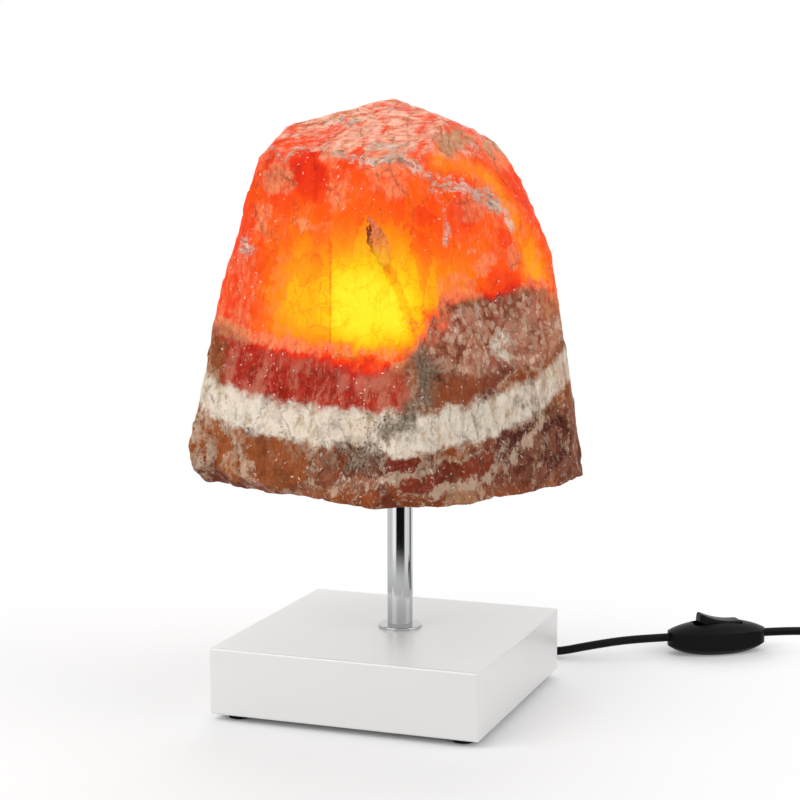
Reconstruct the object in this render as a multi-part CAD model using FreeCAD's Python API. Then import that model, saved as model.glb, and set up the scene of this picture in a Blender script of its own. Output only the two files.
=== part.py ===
# Aragonite table lamp: a drilled stone over a bulb, on a chrome stem and a white block base,
# with a mains lead that carries a rocker switch. Millimetres, +Z up, origin on the floor under
# the middle of the base block, front towards -Y.
import FreeCAD
import Part
import math
import os

V = FreeCAD.Vector
UP = V(0, 0, 1)

# Base block and its feet
BASE_SIDE = 150.0
BASE_HEIGHT = 36.0
BASE_EDGE_ROUND = 1.2
FOOT_DIAMETER = 12.0
FOOT_HEIGHT = 3.5
FOOT_ROUND = 0.8
FOOT_SETBACK = 12.0
COUNTERBORE_DIAMETER = 34.0
COUNTERBORE_DEPTH = 20.0

# Stem: a chrome tube clamped by the threaded pipe inside it
STEM_X = 4.0
STEM_Y = 4.0
TUBE_DIAMETER = 14.0
TUBE_WALL = 1.0
TUBE_LENGTH = 76.4
FLANGE_DIAMETER = 24.0
FLANGE_THICKNESS = 1.6
FLANGE_ROUND = 0.6
NECK_HEIGHT = 3.0
PIPE_DIAMETER = 10.0
PIPE_BORE = 7.4
PIPE_PAST_NUT = 1.5
NUT_ACROSS_FLATS = 16.0
NUT_HEIGHT = 4.0
WASHER_DIAMETER = 28.0
WASHER_THICKNESS = 1.5

# Seat under the stone
SEAT_DIAMETER = 78.0
SEAT_THICKNESS = 2.5
SEAT_ROUND = 0.8
PAD_THICKNESS = 2.0
PAD_SETBACK = 1.0

# Stone: fracture faces about its heart, as azimuth, lean above the horizon and share of the reach
STONE_REACH = 100.0
STONE_HEART_HEIGHT = 93.0
STONE_BLOCK = 400.0
STONE_FACES = {
    "front_left": (253, 11, 0.600),
    "front": (292, 10, 0.810),
    "front_right": (336, 10, 0.660),
    "right": (8, 8, 0.885),
    "back_right": (62, 9, 0.760),
    "back": (108, 10, 0.610),
    "back_left": (150, 9, 0.720),
    "left": (180, 7, 0.900),
    "left_shoulder": (203, 17, 0.910),
    "left_brow": (206, 43, 1.070),
    "front_left_brow": (258, 55, 0.930),
    "front_right_brow": (350, 27, 0.820),
    "right_shoulder": (20, 19, 0.925),
    "right_brow": (24, 40, 1.020),
    "back_brow": (105, 42, 0.920),
    "crown_left": (200, 76, 1.100),
    "crown_right": (15, 69, 1.065),
    "crown_back": (110, 60, 1.060),
    "under_front_left": (248, -40, 1.160),
    "under_left": (195, -40, 1.360),
    "under_right": (352, -40, 1.280),
    "under_front": (305, -42, 1.260),
    "under_back": (110, -40, 1.130),
}

# Breaks along the edges between those faces, in the same terms
STONE_BREAKS = (
    (268, 8, 0.755),
    (304, 18, 0.839),
    (217, 13, 0.879),
    (234, 13, 0.766),
    (251, 37, 0.852),
    (254, -23, 1.067),
    (307, 14, 0.794),
    (350, 9, 0.777),
    (341, 20, 0.759),
    (342, -9, 0.975),
    (319, -18, 1.105),
    (29, 10, 0.902),
    (83, 11, 0.732),
    (47, 13, 0.846),
    (50, 21, 0.891),
    (133, 9, 0.715),
    (103, 28, 0.813),
    (108, -13, 0.912),
    (167, 10, 0.836),
    (173, 18, 0.912),
    (193, 12, 0.917),
    (190, -17, 1.234),
    (252, 66, 1.020),
    (288, 72, 1.054),
    (4, 24, 0.879),
    (2, 33, 0.906),
    (1, 52, 1.010),
    (23, 54, 1.061),
    (90, 57, 1.032),
    (104, 53, 1.012),
    (141, 72, 1.116),
)

# Flakes off the faces: direction from the heart as azimuth and lean, then width and depth as shares of the reach
STONE_FLAKES = (
    (251, 52, 0.66, 0.030),
    (301, 41, 0.46, 0.032),
    (331, 35, 0.34, 0.022),
    (218, 22, 0.30, 0.016),
    (215, -8, 0.44, 0.030),
    (279, 9, 0.58, 0.022),
    (320, 8, 0.30, 0.020),
    (348, -8, 0.54, 0.034),
    (303, -16, 0.26, 0.024),
    (247, -27, 0.36, 0.018),
    (275, -40, 0.52, 0.030),
    (231, -42, 0.34, 0.026),
    (310, -40, 0.40, 0.032),
    (345, -39, 0.30, 0.018),
    (11, 19, 0.34, 0.026),
    (14, -6, 0.28, 0.016),
    (205, 37, 0.26, 0.024),
    (206, 5, 0.36, 0.028),
    (210, -34, 0.40, 0.026),
    (206, -18, 0.22, 0.016),
    (8, -32, 0.44, 0.026),
    (204, 68, 0.46, 0.028),
    (307, 68, 0.30, 0.020),
    (205, 81, 0.26, 0.018),
    (338, 61, 0.40, 0.028),
    (5, 48, 0.24, 0.018),
    (203, 57, 0.24, 0.020),
    (253, -49, 0.40, 0.026),
    (293, -43, 0.28, 0.022),
    (336, -46, 0.44, 0.026),
    (211, -43, 0.26, 0.024),
    (184, -30, 0.44, 0.024),
    (83, -4, 0.52, 0.026),
    (106, -36, 0.52, 0.034),
    (42, -17, 0.52, 0.030),
    (158, -3, 0.44, 0.024),
    (101, 28, 0.44, 0.030),
    (116, -13, 0.24, 0.016),
    (32, 36, 0.36, 0.018),
    (115, 51, 0.44, 0.022),
    (154, -32, 0.36, 0.024),
    (76, 59, 0.36, 0.022),
    (195, -17, 0.24, 0.014),
    (136, 25, 0.44, 0.030),
    (58, 1, 0.24, 0.014),
    (185, 31, 0.44, 0.024),
    (29, 20, 0.32, 0.024),
    (59, 42, 0.28, 0.020),
    (136, -22, 0.32, 0.018),
    (191, -4, 0.32, 0.014),
    (170, 15, 0.24, 0.014),
    (31, -36, 0.44, 0.028),
    (153, 48, 0.32, 0.024),
    (132, 2, 0.28, 0.014),
    (161, 30, 0.28, 0.014),
    (81, -35, 0.24, 0.014),
    (64, -25, 0.28, 0.014),
    (46, 50, 0.24, 0.016),
)
CAVITY_DIAMETER = 56.0
CAVITY_DEPTH = 148.0
CAVITY_CONE = 9.0

# Lamp holder
HOLDER_DIAMETER = 27.0
HOLDER_WALL = 1.8
CAP_NECK_DIAMETER = 15.0
CAP_NECK_HEIGHT = 7.0
CAP_FLOOR = 2.0
CAP_HEIGHT = 23.0
BARREL_HEIGHT = 31.0
BARREL_SPIGOT = 6.0
INSERT_HEIGHT = 10.0
SHELL_BORE = 14.4
SHELL_WALL = 0.5
SHELL_HEIGHT = 21.0
CENTRE_CONTACT_DIAMETER = 6.0
CENTRE_CONTACT_THICKNESS = 0.6
GRUB_DIAMETER = 3.0
GRUB_LENGTH = 2.4
GRUB_HEIGHT = 2.6

# Candle bulb with a 14 mm screw cap
BULB_CAP_DIAMETER = 13.9
BULB_CAP_HEIGHT = 18.0
BULB_CAP_WALL = 0.4
BULB_INSULATOR_HEIGHT = 2.2
BULB_CONTACT_DIAMETER = 4.6
BULB_CONTACT_HEIGHT = 0.9
BULB_DIAMETER = 35.0
BULB_GLASS_WALL = 0.8
BULB_NECK_IN_CAP = 7.0
BULB_NECK_RISE = 5.0
BULB_BELLY_RISE = 25.0
BULB_TAPER_RISE = 46.0
BULB_TIP_RISE = 3.0
BULB_TIP_DIAMETER = 5.0
BULB_STEM_HEIGHT = 30.0
BULB_STEM_DIAMETER = 4.0
FILAMENT_WIDTH = 17.6
FILAMENT_DIAMETER = 1.2
FILAMENT_RISE = 14.0
LEAD_WIRE_DIAMETER = 0.8

# Mains lead
CORD_DIAMETER = 5.0
CONDUCTOR_DIAMETER = 1.6
CONDUCTOR_SPACING = 2.6
CORD_EXIT_HEIGHT = 7.0
CHANNEL_WIDTH = 7.0
INNER_BEND_RADIUS = 9.0
SHEATH_IN_CAP = 6.0
RUN_SHARE = 0.45

# Clamp that grips the lead under the block
CLAMP_LENGTH = 24.0
CLAMP_WIDTH = 8.0
CLAMP_THICKNESS = 1.4
CLAMP_FROM_BACK = 22.0
CLAMP_SCREW_SPACING = 15.0
CLAMP_SCREW_DIAMETER = 2.6
CLAMP_SCREW_LENGTH = 10.0
CLAMP_HEAD_DIAMETER = 5.0
CLAMP_HEAD_HEIGHT = 1.2

# Rocker switch on the lead
SWITCH_X = 151.0
SWITCH_Y = 161.0
SWITCH_YAW = 32.0
SWITCH_LENGTH = 61.0
SWITCH_WIDTH = 28.0
SWITCH_END_RADIUS = 10.0
SWITCH_HEIGHT = 19.5
SWITCH_DOME = 15.0
SWITCH_DOME_SPREAD = 1.25
SWITCH_BELLY = 11.0
SWITCH_BELLY_HEIGHT = 9.0
SWITCH_BELLY_LENGTH_SPREAD = 1.08
SWITCH_BELLY_WIDTH_SPREAD = 1.18
SWITCH_SPLIT = 10.0
POCKET_LENGTH = 40.0
POCKET_WIDTH = 15.0
POCKET_FLOOR = 2.5
POCKET_ROOF = 13.5
CORD_IN_SWITCH = 11.0
ROCKER_LENGTH = 27.0
ROCKER_WIDTH = 11.6
ROCKER_RISE = 9.2
ROCKER_DIP = 2.0
ROCKER_HUB = 4.5
ROCKER_FOOT = 4.2
ROCKER_ROUND = 0.9
ROCKER_CORNER = 3.0
ROCKER_TILT = 11.0
ROCKER_PIVOT_HEIGHT = 13.0
ROCKER_SIDE_GAP = 0.5
ROCKER_END_GAP = 0.5
PIN_DIAMETER = 2.5
PIN_IN_WALL = 1.3
BRIDGE_LENGTH = 18.0
BRIDGE_WIDTH = 5.0
BRIDGE_THICKNESS = 0.8
TERMINAL_LENGTH = 5.0
TERMINAL_WIDTH = 4.0
TERMINAL_HEIGHT = 5.0
TERMINAL_X = 17.0
TERMINAL_GAP = 0.8
STRAP_THICKNESS = 0.8
STRAP_WIDTH = 1.4
CONTACT_LENGTH = 3.0
CONTACT_GAP = 0.3
HOUSING_SCREW_X = 23.5
HOUSING_SCREW_Y = 4.6
HOUSING_SCREW_DIAMETER = 2.2
HOUSING_HEAD_DIAMETER = 4.4
HOUSING_HEAD_HEIGHT = 2.0
HOUSING_HEAD_LEVEL = 4.0
HOUSING_SCREW_GRIP = 3.5

# Coil of the lead that is put away, its tie, and the plug
COIL_X = 256.0
COIL_Y = 164.5
COIL_INNER_RADIUS = 20.2
COIL_GAP = 0.5
COIL_TURNS_IN = 3.75
COIL_TURNS_OUT = 3.5
COIL_CLIMB_TURNS = 0.5
TIE_WIDTH = 8.0
TIE_THICKNESS = 1.0
TIE_SLACK = 0.3
TIE_SIDE_SLACK = 0.75
TIE_CORNER = 2.0
PLUG_YAW = -82.0
PLUG_RELIEF_LENGTH = 22.0
PLUG_RELIEF_REAR = 7.0
PLUG_RELIEF_FRONT = 10.4
PLUG_RELIEF_GROOVES = 4
PLUG_GROOVE_WIDTH = 1.6
PLUG_GROOVE_DEPTH = 0.7
PLUG_BODY_LENGTH = 33.0
PLUG_WIDTH = 35.0
PLUG_THICKNESS = 13.7
PLUG_REAR_WIDTH = 12.0
PLUG_REAR_THICKNESS = 10.6
PLUG_GRIP_LENGTH = 16.0
PLUG_FLAT_WIDTH = 25.0
PLUG_SIDE_HEIGHT = 5.0
PLUG_ROUND = 1.0
PLUG_PIN_SPACING = 18.6
PLUG_PIN_DIAMETER = 4.0
PLUG_PIN_LENGTH = 19.0
PLUG_SLEEVE_LENGTH = 10.0
PLUG_SLEEVE_DIAMETER = 3.8
PLUG_CORE_DIAMETER = 3.0

# Clearances
FIT = 0.1
RUNNING_FIT = 0.05
SEAT_FIT = 0.02

# Free points of the lead, from the back of the base to the switch and from the switch to the coil
LEAD_POINTS = [
    V(4, 91, CORD_EXIT_HEIGHT),
    V(12, 105.4, 5.6),
    V(26.8, 113.7, 4.2),
    V(45, 113.4, 3.4),
    V(63, 111.5, 3.2),
    V(83, 119, 7.4),
    V(100.5, 130.2, 9.4),
]
RUN_POINTS = [
    V(199, 190.3, 9.6),
    V(214, 197.3, 8.2),
    V(228.3, 202.3, 6.0),
]
LEAD_TO_SWITCH = 9.0
RUN_FROM_SWITCH = 7.0
RUN_TO_COIL = 11.5
TAIL_POINTS = [
    V(0, -9, 0),
    V(0.7, -20, -1.3),
    V(2.2, -31, -2.4),
]
TAIL_TO_PLUG = 11.0

# Heights and radii that follow from the sizes above
BASE_TOP = FOOT_HEIGHT + BASE_HEIGHT
FLANGE_TOP = BASE_TOP + FLANGE_THICKNESS
SEAT_BOTTOM = FLANGE_TOP + TUBE_LENGTH
SEAT_TOP = SEAT_BOTTOM + SEAT_THICKNESS
STONE_BOTTOM = SEAT_TOP + PAD_THICKNESS
WASHER_BOTTOM = FOOT_HEIGHT + COUNTERBORE_DEPTH - WASHER_THICKNESS
BASE_NUT_BOTTOM = WASHER_BOTTOM - NUT_HEIGHT
PIPE_BOTTOM = BASE_NUT_BOTTOM - PIPE_PAST_NUT
CAP_BOTTOM = SEAT_TOP + NUT_HEIGHT
PIPE_TOP = CAP_BOTTOM + CAP_NECK_HEIGHT
CAP_INSIDE = PIPE_TOP + CAP_FLOOR
CAP_TOP = CAP_BOTTOM + CAP_HEIGHT
INSERT_BOTTOM = CAP_TOP - BARREL_SPIGOT
INSERT_TOP = INSERT_BOTTOM + INSERT_HEIGHT
BARREL_TOP = CAP_TOP + BARREL_HEIGHT
BULB_CONTACT_BOTTOM = INSERT_TOP + CENTRE_CONTACT_THICKNESS + CONTACT_GAP
BULB_INSULATOR_BOTTOM = BULB_CONTACT_BOTTOM + BULB_CONTACT_HEIGHT
BULB_CAP_BOTTOM = BULB_INSULATOR_BOTTOM + BULB_INSULATOR_HEIGHT
BULB_CAP_TOP = BULB_CAP_BOTTOM + BULB_CAP_HEIGHT
GLASS_BOTTOM = BULB_CAP_TOP - BULB_NECK_IN_CAP
HOLDER_RADIUS = HOLDER_DIAMETER / 2
CAP_INNER_RADIUS = HOLDER_RADIUS - HOLDER_WALL
PIPE_HOLE_RADIUS = PIPE_DIAMETER / 2 + FIT
TUBE_BORE_RADIUS = TUBE_DIAMETER / 2 - TUBE_WALL
CORD_RADIUS = CORD_DIAMETER / 2
COIL_PITCH = CORD_DIAMETER + COIL_GAP
COIL_OUTER_RADIUS = COIL_INNER_RADIUS + COIL_TURNS_IN * COIL_PITCH
COIL_END_RADIUS = COIL_INNER_RADIUS + COIL_TURNS_OUT * COIL_PITCH
COIL_FLOOR = TIE_THICKNESS + TIE_SLACK + CORD_RADIUS
PLUG_AXIS_HEIGHT = PLUG_THICKNESS / 2
PLUG_FACE = PLUG_RELIEF_LENGTH + PLUG_BODY_LENGTH


def across_xy(a, b):
    return V(a, b, 0)


def across_xz(a, b):
    return V(a, 0, b)


def across_yz(a, b):
    return V(0, a, b)


def flat_face(to_3d, start, *steps):
    """Flat face with an outline of steps: one point is a line to it, two are an arc through the first."""
    edges = []
    here = start
    for step in steps:
        points = [to_3d(*p) for p in (here, *step)]
        curve = Part.LineSegment(*points) if len(points) == 2 else Part.Arc(*points)
        edges.append(curve.toShape())
        here = step[-1]
    return Part.Face(Part.Wire(edges))


def polygon_face(to_3d, *points):
    return flat_face(to_3d, points[0], *([p] for p in (*points[1:], points[0])))


def on_stem(shape):
    return shape.translated(V(STEM_X, STEM_Y, 0))


def turned(face):
    """Solid turned about the stem's axis from a face of radius and height."""
    return on_stem(face.revolve(V(), UP, 360))


def turned_ring(outer, inner, low, high):
    points = ((inner, low), (outer, low), (outer, high), (inner, high))
    return turned(polygon_face(across_xz, *points))


def rod(radius, start, end):
    axis = end - start
    return Part.makeCylinder(radius, axis.Length, start, axis)


def block(low, high):
    return Part.makeBox(high.x - low.x, high.y - low.y, high.z - low.z, low)


def hex_nut(low):
    """Nut on the threaded pipe, resting at height low."""
    corner = NUT_ACROSS_FLATS / math.sqrt(3)
    angles = [math.radians(60 * k) for k in range(6)]
    corners = [(corner * math.cos(a), corner * math.sin(a)) for a in angles]
    prism = polygon_face(across_xy, *corners).extrude(UP * NUT_HEIGHT)
    bore = Part.makeCylinder(PIPE_HOLE_RADIUS, NUT_HEIGHT)
    return on_stem(prism.cut(bore).translated(UP * low))


def unit(vector):
    return V(vector).normalize()


def rounded_route(name, points):
    """Straight runs joined by tangent arcs, each arc as large as its shorter run allows."""
    edges = []
    radii = []
    here = points[0]
    for before, corner, after in zip(points, points[1:], points[2:]):
        arrive = unit(corner - before)
        leave = unit(after - corner)
        half_turn = arrive.getAngle(leave) / 2
        setback = RUN_SHARE * min((corner - before).Length, (after - corner).Length)
        radius = setback / math.tan(half_turn)
        start = corner - arrive * setback
        end = corner + leave * setback
        middle = corner + unit(leave - arrive) * radius * (1 / math.cos(half_turn) - 1)
        edges.append(Part.LineSegment(here, start).toShape())
        edges.append(Part.Arc(start, middle, end).toShape())
        radii.append(round(radius, 1))
        here = end
    edges.append(Part.LineSegment(here, points[-1]).toShape())
    print(name, "arc radii", radii)
    return edges


def tube(name, edges, diameter):
    """Round solid along a path of lines and arcs."""
    path = Part.Wire(edges)
    first = edges[0]
    start = first.valueAt(first.FirstParameter)
    heading = first.tangentAt(first.FirstParameter)
    section = Part.Wire(Part.makeCircle(diameter / 2, start, heading))
    solid = path.makePipeShell([section], True, False)
    expected = math.pi * diameter**2 / 4 * path.Length
    print(name, "length", round(path.Length, 1), "volume share", round(solid.Volume / expected, 4))
    return solid


def base_block():
    half = BASE_SIDE / 2
    body = block(V(-half, -half, FOOT_HEIGHT), V(half, half, BASE_TOP))
    body = body.makeFillet(BASE_EDGE_ROUND, body.Edges)
    axis = V(STEM_X, STEM_Y, FOOT_HEIGHT)
    body = body.cut(Part.makeCylinder(PIPE_HOLE_RADIUS + FIT, BASE_HEIGHT, axis))
    body = body.cut(Part.makeCylinder(COUNTERBORE_DIAMETER / 2, COUNTERBORE_DEPTH, axis))
    arch = rod(CHANNEL_WIDTH / 2, V(STEM_X, STEM_Y, CORD_EXIT_HEIGHT), V(STEM_X, half, CORD_EXIT_HEIGHT))
    side = V(CHANNEL_WIDTH / 2, 0, 0)
    low = V(STEM_X, STEM_Y, FOOT_HEIGHT) - side
    slot = block(low, V(STEM_X, half, CORD_EXIT_HEIGHT) + side)
    body = body.cut(arch).cut(slot)
    for start, end in clamp_screw_shanks():
        body = body.cut(rod(CLAMP_SCREW_DIAMETER / 2 + SEAT_FIT, start, end))
    return body


def foot(x, y):
    r = FOOT_DIAMETER / 2
    face = flat_face(
        across_xz,
        (0, 0),
        [(r - FOOT_ROUND, 0)],
        [(r - FOOT_ROUND * (1 - math.sqrt(0.5)), FOOT_ROUND * (1 - math.sqrt(0.5))), (r, FOOT_ROUND)],
        [(r, FOOT_HEIGHT)],
        [(0, FOOT_HEIGHT)],
        [(0, 0)],
    )
    return face.revolve(V(), UP, 360).translated(V(x, y, 0))


def flange():
    r = FLANGE_DIAMETER / 2
    soft = FLANGE_ROUND * (1 - math.sqrt(0.5))
    neck = TUBE_BORE_RADIUS - FIT
    face = flat_face(
        across_xz,
        (PIPE_HOLE_RADIUS, BASE_TOP),
        [(r, BASE_TOP)],
        [(r, FLANGE_TOP - FLANGE_ROUND)],
        [(r - soft, FLANGE_TOP - soft), (r - FLANGE_ROUND, FLANGE_TOP)],
        [(neck, FLANGE_TOP)],
        [(neck, FLANGE_TOP + NECK_HEIGHT)],
        [(PIPE_HOLE_RADIUS, FLANGE_TOP + NECK_HEIGHT)],
        [(PIPE_HOLE_RADIUS, BASE_TOP)],
    )
    return turned(face)


def seat_plate():
    r = SEAT_DIAMETER / 2
    soft = SEAT_ROUND * (1 - math.sqrt(0.5))
    neck = TUBE_BORE_RADIUS - FIT
    face = flat_face(
        across_xz,
        (PIPE_HOLE_RADIUS, SEAT_BOTTOM - NECK_HEIGHT),
        [(neck, SEAT_BOTTOM - NECK_HEIGHT)],
        [(neck, SEAT_BOTTOM)],
        [(r - SEAT_ROUND, SEAT_BOTTOM)],
        [(r - soft, SEAT_BOTTOM + soft), (r, SEAT_BOTTOM + SEAT_ROUND)],
        [(r, SEAT_TOP)],
        [(PIPE_HOLE_RADIUS, SEAT_TOP)],
        [(PIPE_HOLE_RADIUS, SEAT_BOTTOM - NECK_HEIGHT)],
    )
    return turned(face)


def direction(azimuth, lean):
    a = math.radians(azimuth)
    b = math.radians(lean)
    return V(math.cos(a) * math.cos(b), math.sin(a) * math.cos(b), math.sin(b))


def stone_flake(heart, azimuth, lean, width, depth):
    """Ball that scoops a shell-shaped flake out of the fracture face in that direction."""
    towards = direction(azimuth, lean)
    nearest = math.inf
    for face_azimuth, face_lean, share in STONE_FACES.values():
        facing = towards.dot(direction(face_azimuth, face_lean))
        if facing > 0 and STONE_REACH * share / facing < nearest:
            nearest = STONE_REACH * share / facing
            outward = direction(face_azimuth, face_lean)
    radius = STONE_REACH * (width * width / 4 + depth * depth) / (2 * depth)
    ball = Part.makeSphere(radius)
    centre = heart + towards * nearest + outward * (radius - STONE_REACH * depth)
    ball.Placement = FreeCAD.Placement(centre, FreeCAD.Rotation(V(1, 0, 0), outward))
    return ball


def stone():
    """Rough block broken along the fracture faces, flaked, then drilled from below for the bulb."""
    heart = V(0, 0, STONE_BOTTOM + STONE_HEART_HEIGHT)
    half = STONE_BLOCK / 2
    rough = block(V(-half, -half, STONE_BOTTOM), V(half, half, STONE_BOTTOM + STONE_BLOCK))
    waste = Part.makeBox(2 * STONE_BLOCK, 2 * STONE_BLOCK, STONE_BLOCK, V(-STONE_BLOCK, -STONE_BLOCK, 0))
    for azimuth, lean, share in (*STONE_FACES.values(), *STONE_BREAKS):
        outward = direction(azimuth, lean)
        place = FreeCAD.Placement(heart + outward * STONE_REACH * share, FreeCAD.Rotation(UP, outward))
        rough = rough.cut(waste.transformed(place.toMatrix(), copy=True))
    for flake in STONE_FLAKES:
        rough = rough.cut(stone_flake(heart, *flake))
    r = CAVITY_DIAMETER / 2
    roof = STONE_BOTTOM + CAVITY_DEPTH
    drill = ((0, STONE_BOTTOM), (r, STONE_BOTTOM), (r, roof), (0, roof + CAVITY_CONE))
    return rough.cut(turned(polygon_face(across_xz, *drill)))


def holder_cap():
    neck = CAP_NECK_DIAMETER / 2
    throat = PIPE_BORE / 2
    points = (
        (PIPE_HOLE_RADIUS, CAP_BOTTOM),
        (neck, CAP_BOTTOM),
        (neck, PIPE_TOP - CAP_FLOOR),
        (HOLDER_RADIUS, CAP_INSIDE + CAP_FLOOR),
        (HOLDER_RADIUS, CAP_TOP),
        (CAP_INNER_RADIUS, CAP_TOP),
        (CAP_INNER_RADIUS, CAP_INSIDE + CAP_FLOOR),
        (CAP_INNER_RADIUS - CAP_FLOOR, CAP_INSIDE),
        (throat, CAP_INSIDE),
        (throat, PIPE_TOP),
        (PIPE_HOLE_RADIUS, PIPE_TOP),
    )
    start, end = grub_ends()
    reach = V(PIPE_HOLE_RADIUS, 0, 0)
    hole = rod(GRUB_DIAMETER / 2 + SEAT_FIT, start - reach, end + reach)
    return turned(polygon_face(across_xz, *points)).cut(hole)


def grub_ends():
    """Inner and outer end of the grub screw that locks the cap on the pipe."""
    start = V(STEM_X + PIPE_HOLE_RADIUS, STEM_Y, CAP_BOTTOM + GRUB_HEIGHT)
    return start, start + V(GRUB_LENGTH, 0, 0)


def holder_barrel():
    bore = SHELL_BORE / 2 + SHELL_WALL + FIT
    spigot = CAP_INNER_RADIUS - FIT
    seat = spigot - HOLDER_WALL / 2
    points = (
        (seat, INSERT_BOTTOM),
        (spigot, INSERT_BOTTOM),
        (spigot, CAP_TOP),
        (HOLDER_RADIUS, CAP_TOP),
        (HOLDER_RADIUS, BARREL_TOP),
        (HOLDER_RADIUS - HOLDER_WALL, BARREL_TOP),
        (bore, INSERT_TOP + SHELL_HEIGHT),
        (bore, INSERT_TOP),
        (seat, INSERT_TOP),
    )
    return turned(polygon_face(across_xz, *points))


def holder_insert():
    radius = CAP_INNER_RADIUS - HOLDER_WALL / 2 - 2 * FIT
    return on_stem(Part.makeCylinder(radius, INSERT_HEIGHT, UP * INSERT_BOTTOM))


def holder_wires():
    """The two conductors from the end of the sheath to the insert."""
    low = CAP_INSIDE + SHEATH_IN_CAP
    side = V(0, CONDUCTOR_SPACING / 2, 0)
    axis = V(STEM_X, STEM_Y, 0)
    ends = [(axis + side * s + UP * low, axis + side * s + UP * INSERT_BOTTOM) for s in (-1, 1)]
    return Part.makeCompound([rod(CONDUCTOR_DIAMETER / 2, *pair) for pair in ends])


def belly_arc(belly, end):
    """Arc that leaves the bulb's widest point straight along the axis and reaches end."""
    fall = belly[0] - end[0]
    rise = end[1] - belly[1]
    radius = (fall**2 + rise**2) / (2 * fall)
    half = math.atan2(abs(rise), radius - fall) / 2
    middle = (belly[0] - radius * (1 - math.cos(half)), belly[1] + math.copysign(radius * math.sin(half), rise))
    return middle, end


def glass_outline(inset):
    """Corner points of the bulb's glass, drawn in by inset, from the neck up to the tip."""
    neck = BULB_CAP_DIAMETER / 2 - BULB_CAP_WALL - FIT
    throat = BULB_CAP_TOP + BULB_NECK_RISE
    belly = throat + BULB_BELLY_RISE
    taper = belly + BULB_TAPER_RISE
    return {
        "foot": (neck - inset, GLASS_BOTTOM),
        "collar": (neck - inset, BULB_CAP_TOP),
        "throat": (neck + FIT - inset, throat),
        "belly": (BULB_DIAMETER / 2 - inset, belly),
        "taper": (BULB_TIP_DIAMETER / 2 - inset, taper),
        "tip": (0, taper + BULB_TIP_RISE - inset),
    }


def bulb_glass():
    outer = glass_outline(0)
    inner = glass_outline(BULB_GLASS_WALL)
    throat_out, _ = belly_arc(outer["belly"], outer["throat"])
    taper_out, _ = belly_arc(outer["belly"], outer["taper"])
    throat_in, _ = belly_arc(inner["belly"], inner["throat"])
    taper_in, _ = belly_arc(inner["belly"], inner["taper"])
    face = flat_face(
        across_xz,
        inner["foot"],
        [outer["foot"]],
        [outer["collar"]],
        [outer["throat"]],
        [throat_out, outer["belly"]],
        [taper_out, outer["taper"]],
        [outer["tip"]],
        [inner["tip"]],
        [inner["taper"]],
        [taper_in, inner["belly"]],
        [throat_in, inner["throat"]],
        [inner["collar"]],
        [inner["foot"]],
    )
    return turned(face)


def bulb_cap():
    outer = BULB_CAP_DIAMETER / 2
    inner = outer - BULB_CAP_WALL
    points = (
        (0, BULB_CAP_BOTTOM),
        (outer, BULB_CAP_BOTTOM),
        (outer, BULB_CAP_TOP),
        (inner, BULB_CAP_TOP),
        (inner, BULB_CAP_BOTTOM + BULB_CAP_WALL),
        (0, BULB_CAP_BOTTOM + BULB_CAP_WALL),
    )
    return turned(polygon_face(across_xz, *points))


def bulb_insulator():
    wide = BULB_CAP_DIAMETER / 2 - BULB_CAP_WALL
    narrow = BULB_CONTACT_DIAMETER / 2 + BULB_CAP_WALL
    points = ((0, BULB_INSULATOR_BOTTOM), (narrow, BULB_INSULATOR_BOTTOM), (wide, BULB_CAP_BOTTOM), (0, BULB_CAP_BOTTOM))
    return turned(polygon_face(across_xz, *points))


def bulb_contact():
    return on_stem(Part.makeCylinder(BULB_CONTACT_DIAMETER / 2, BULB_CONTACT_HEIGHT, UP * BULB_CONTACT_BOTTOM))


def bulb_stem():
    """Glass mount inside the bulb: a flared foot in the neck and a slim post."""
    flare = glass_outline(BULB_GLASS_WALL)["foot"][0] - FIT
    post = BULB_STEM_DIAMETER / 2
    top = GLASS_BOTTOM + BULB_STEM_HEIGHT
    points = (
        (0, GLASS_BOTTOM),
        (flare, GLASS_BOTTOM),
        (flare, GLASS_BOTTOM + BULB_GLASS_WALL),
        (post, GLASS_BOTTOM + BULB_NECK_IN_CAP),
        (post, top),
        (0, top),
    )
    return turned(polygon_face(across_xz, *points))


def bulb_leads():
    """Two support wires from the post to the ends of the filament."""
    low = GLASS_BOTTOM + BULB_STEM_HEIGHT
    wires = []
    for side in (-1, 1):
        near = side * (BULB_STEM_DIAMETER / 2 - LEAD_WIRE_DIAMETER)
        far = side * (FILAMENT_WIDTH / 2 + LEAD_WIRE_DIAMETER / 2 + FIT)
        points = [
            V(near, 0, low),
            V(near, 0, low + FILAMENT_RISE / 4),
            V(far, 0, low + FILAMENT_RISE * 3 / 4),
            V(far, 0, low + FILAMENT_RISE + FILAMENT_DIAMETER),
        ]
        wires.append(on_stem(tube("bulb lead", rounded_route("bulb lead", points), LEAD_WIRE_DIAMETER)))
    return Part.makeCompound(wires)


def bulb_filament():
    height = UP * (GLASS_BOTTOM + BULB_STEM_HEIGHT + FILAMENT_RISE)
    half = V(FILAMENT_WIDTH / 2, 0, 0)
    return on_stem(rod(FILAMENT_DIAMETER / 2, height - half, height + half))


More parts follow.
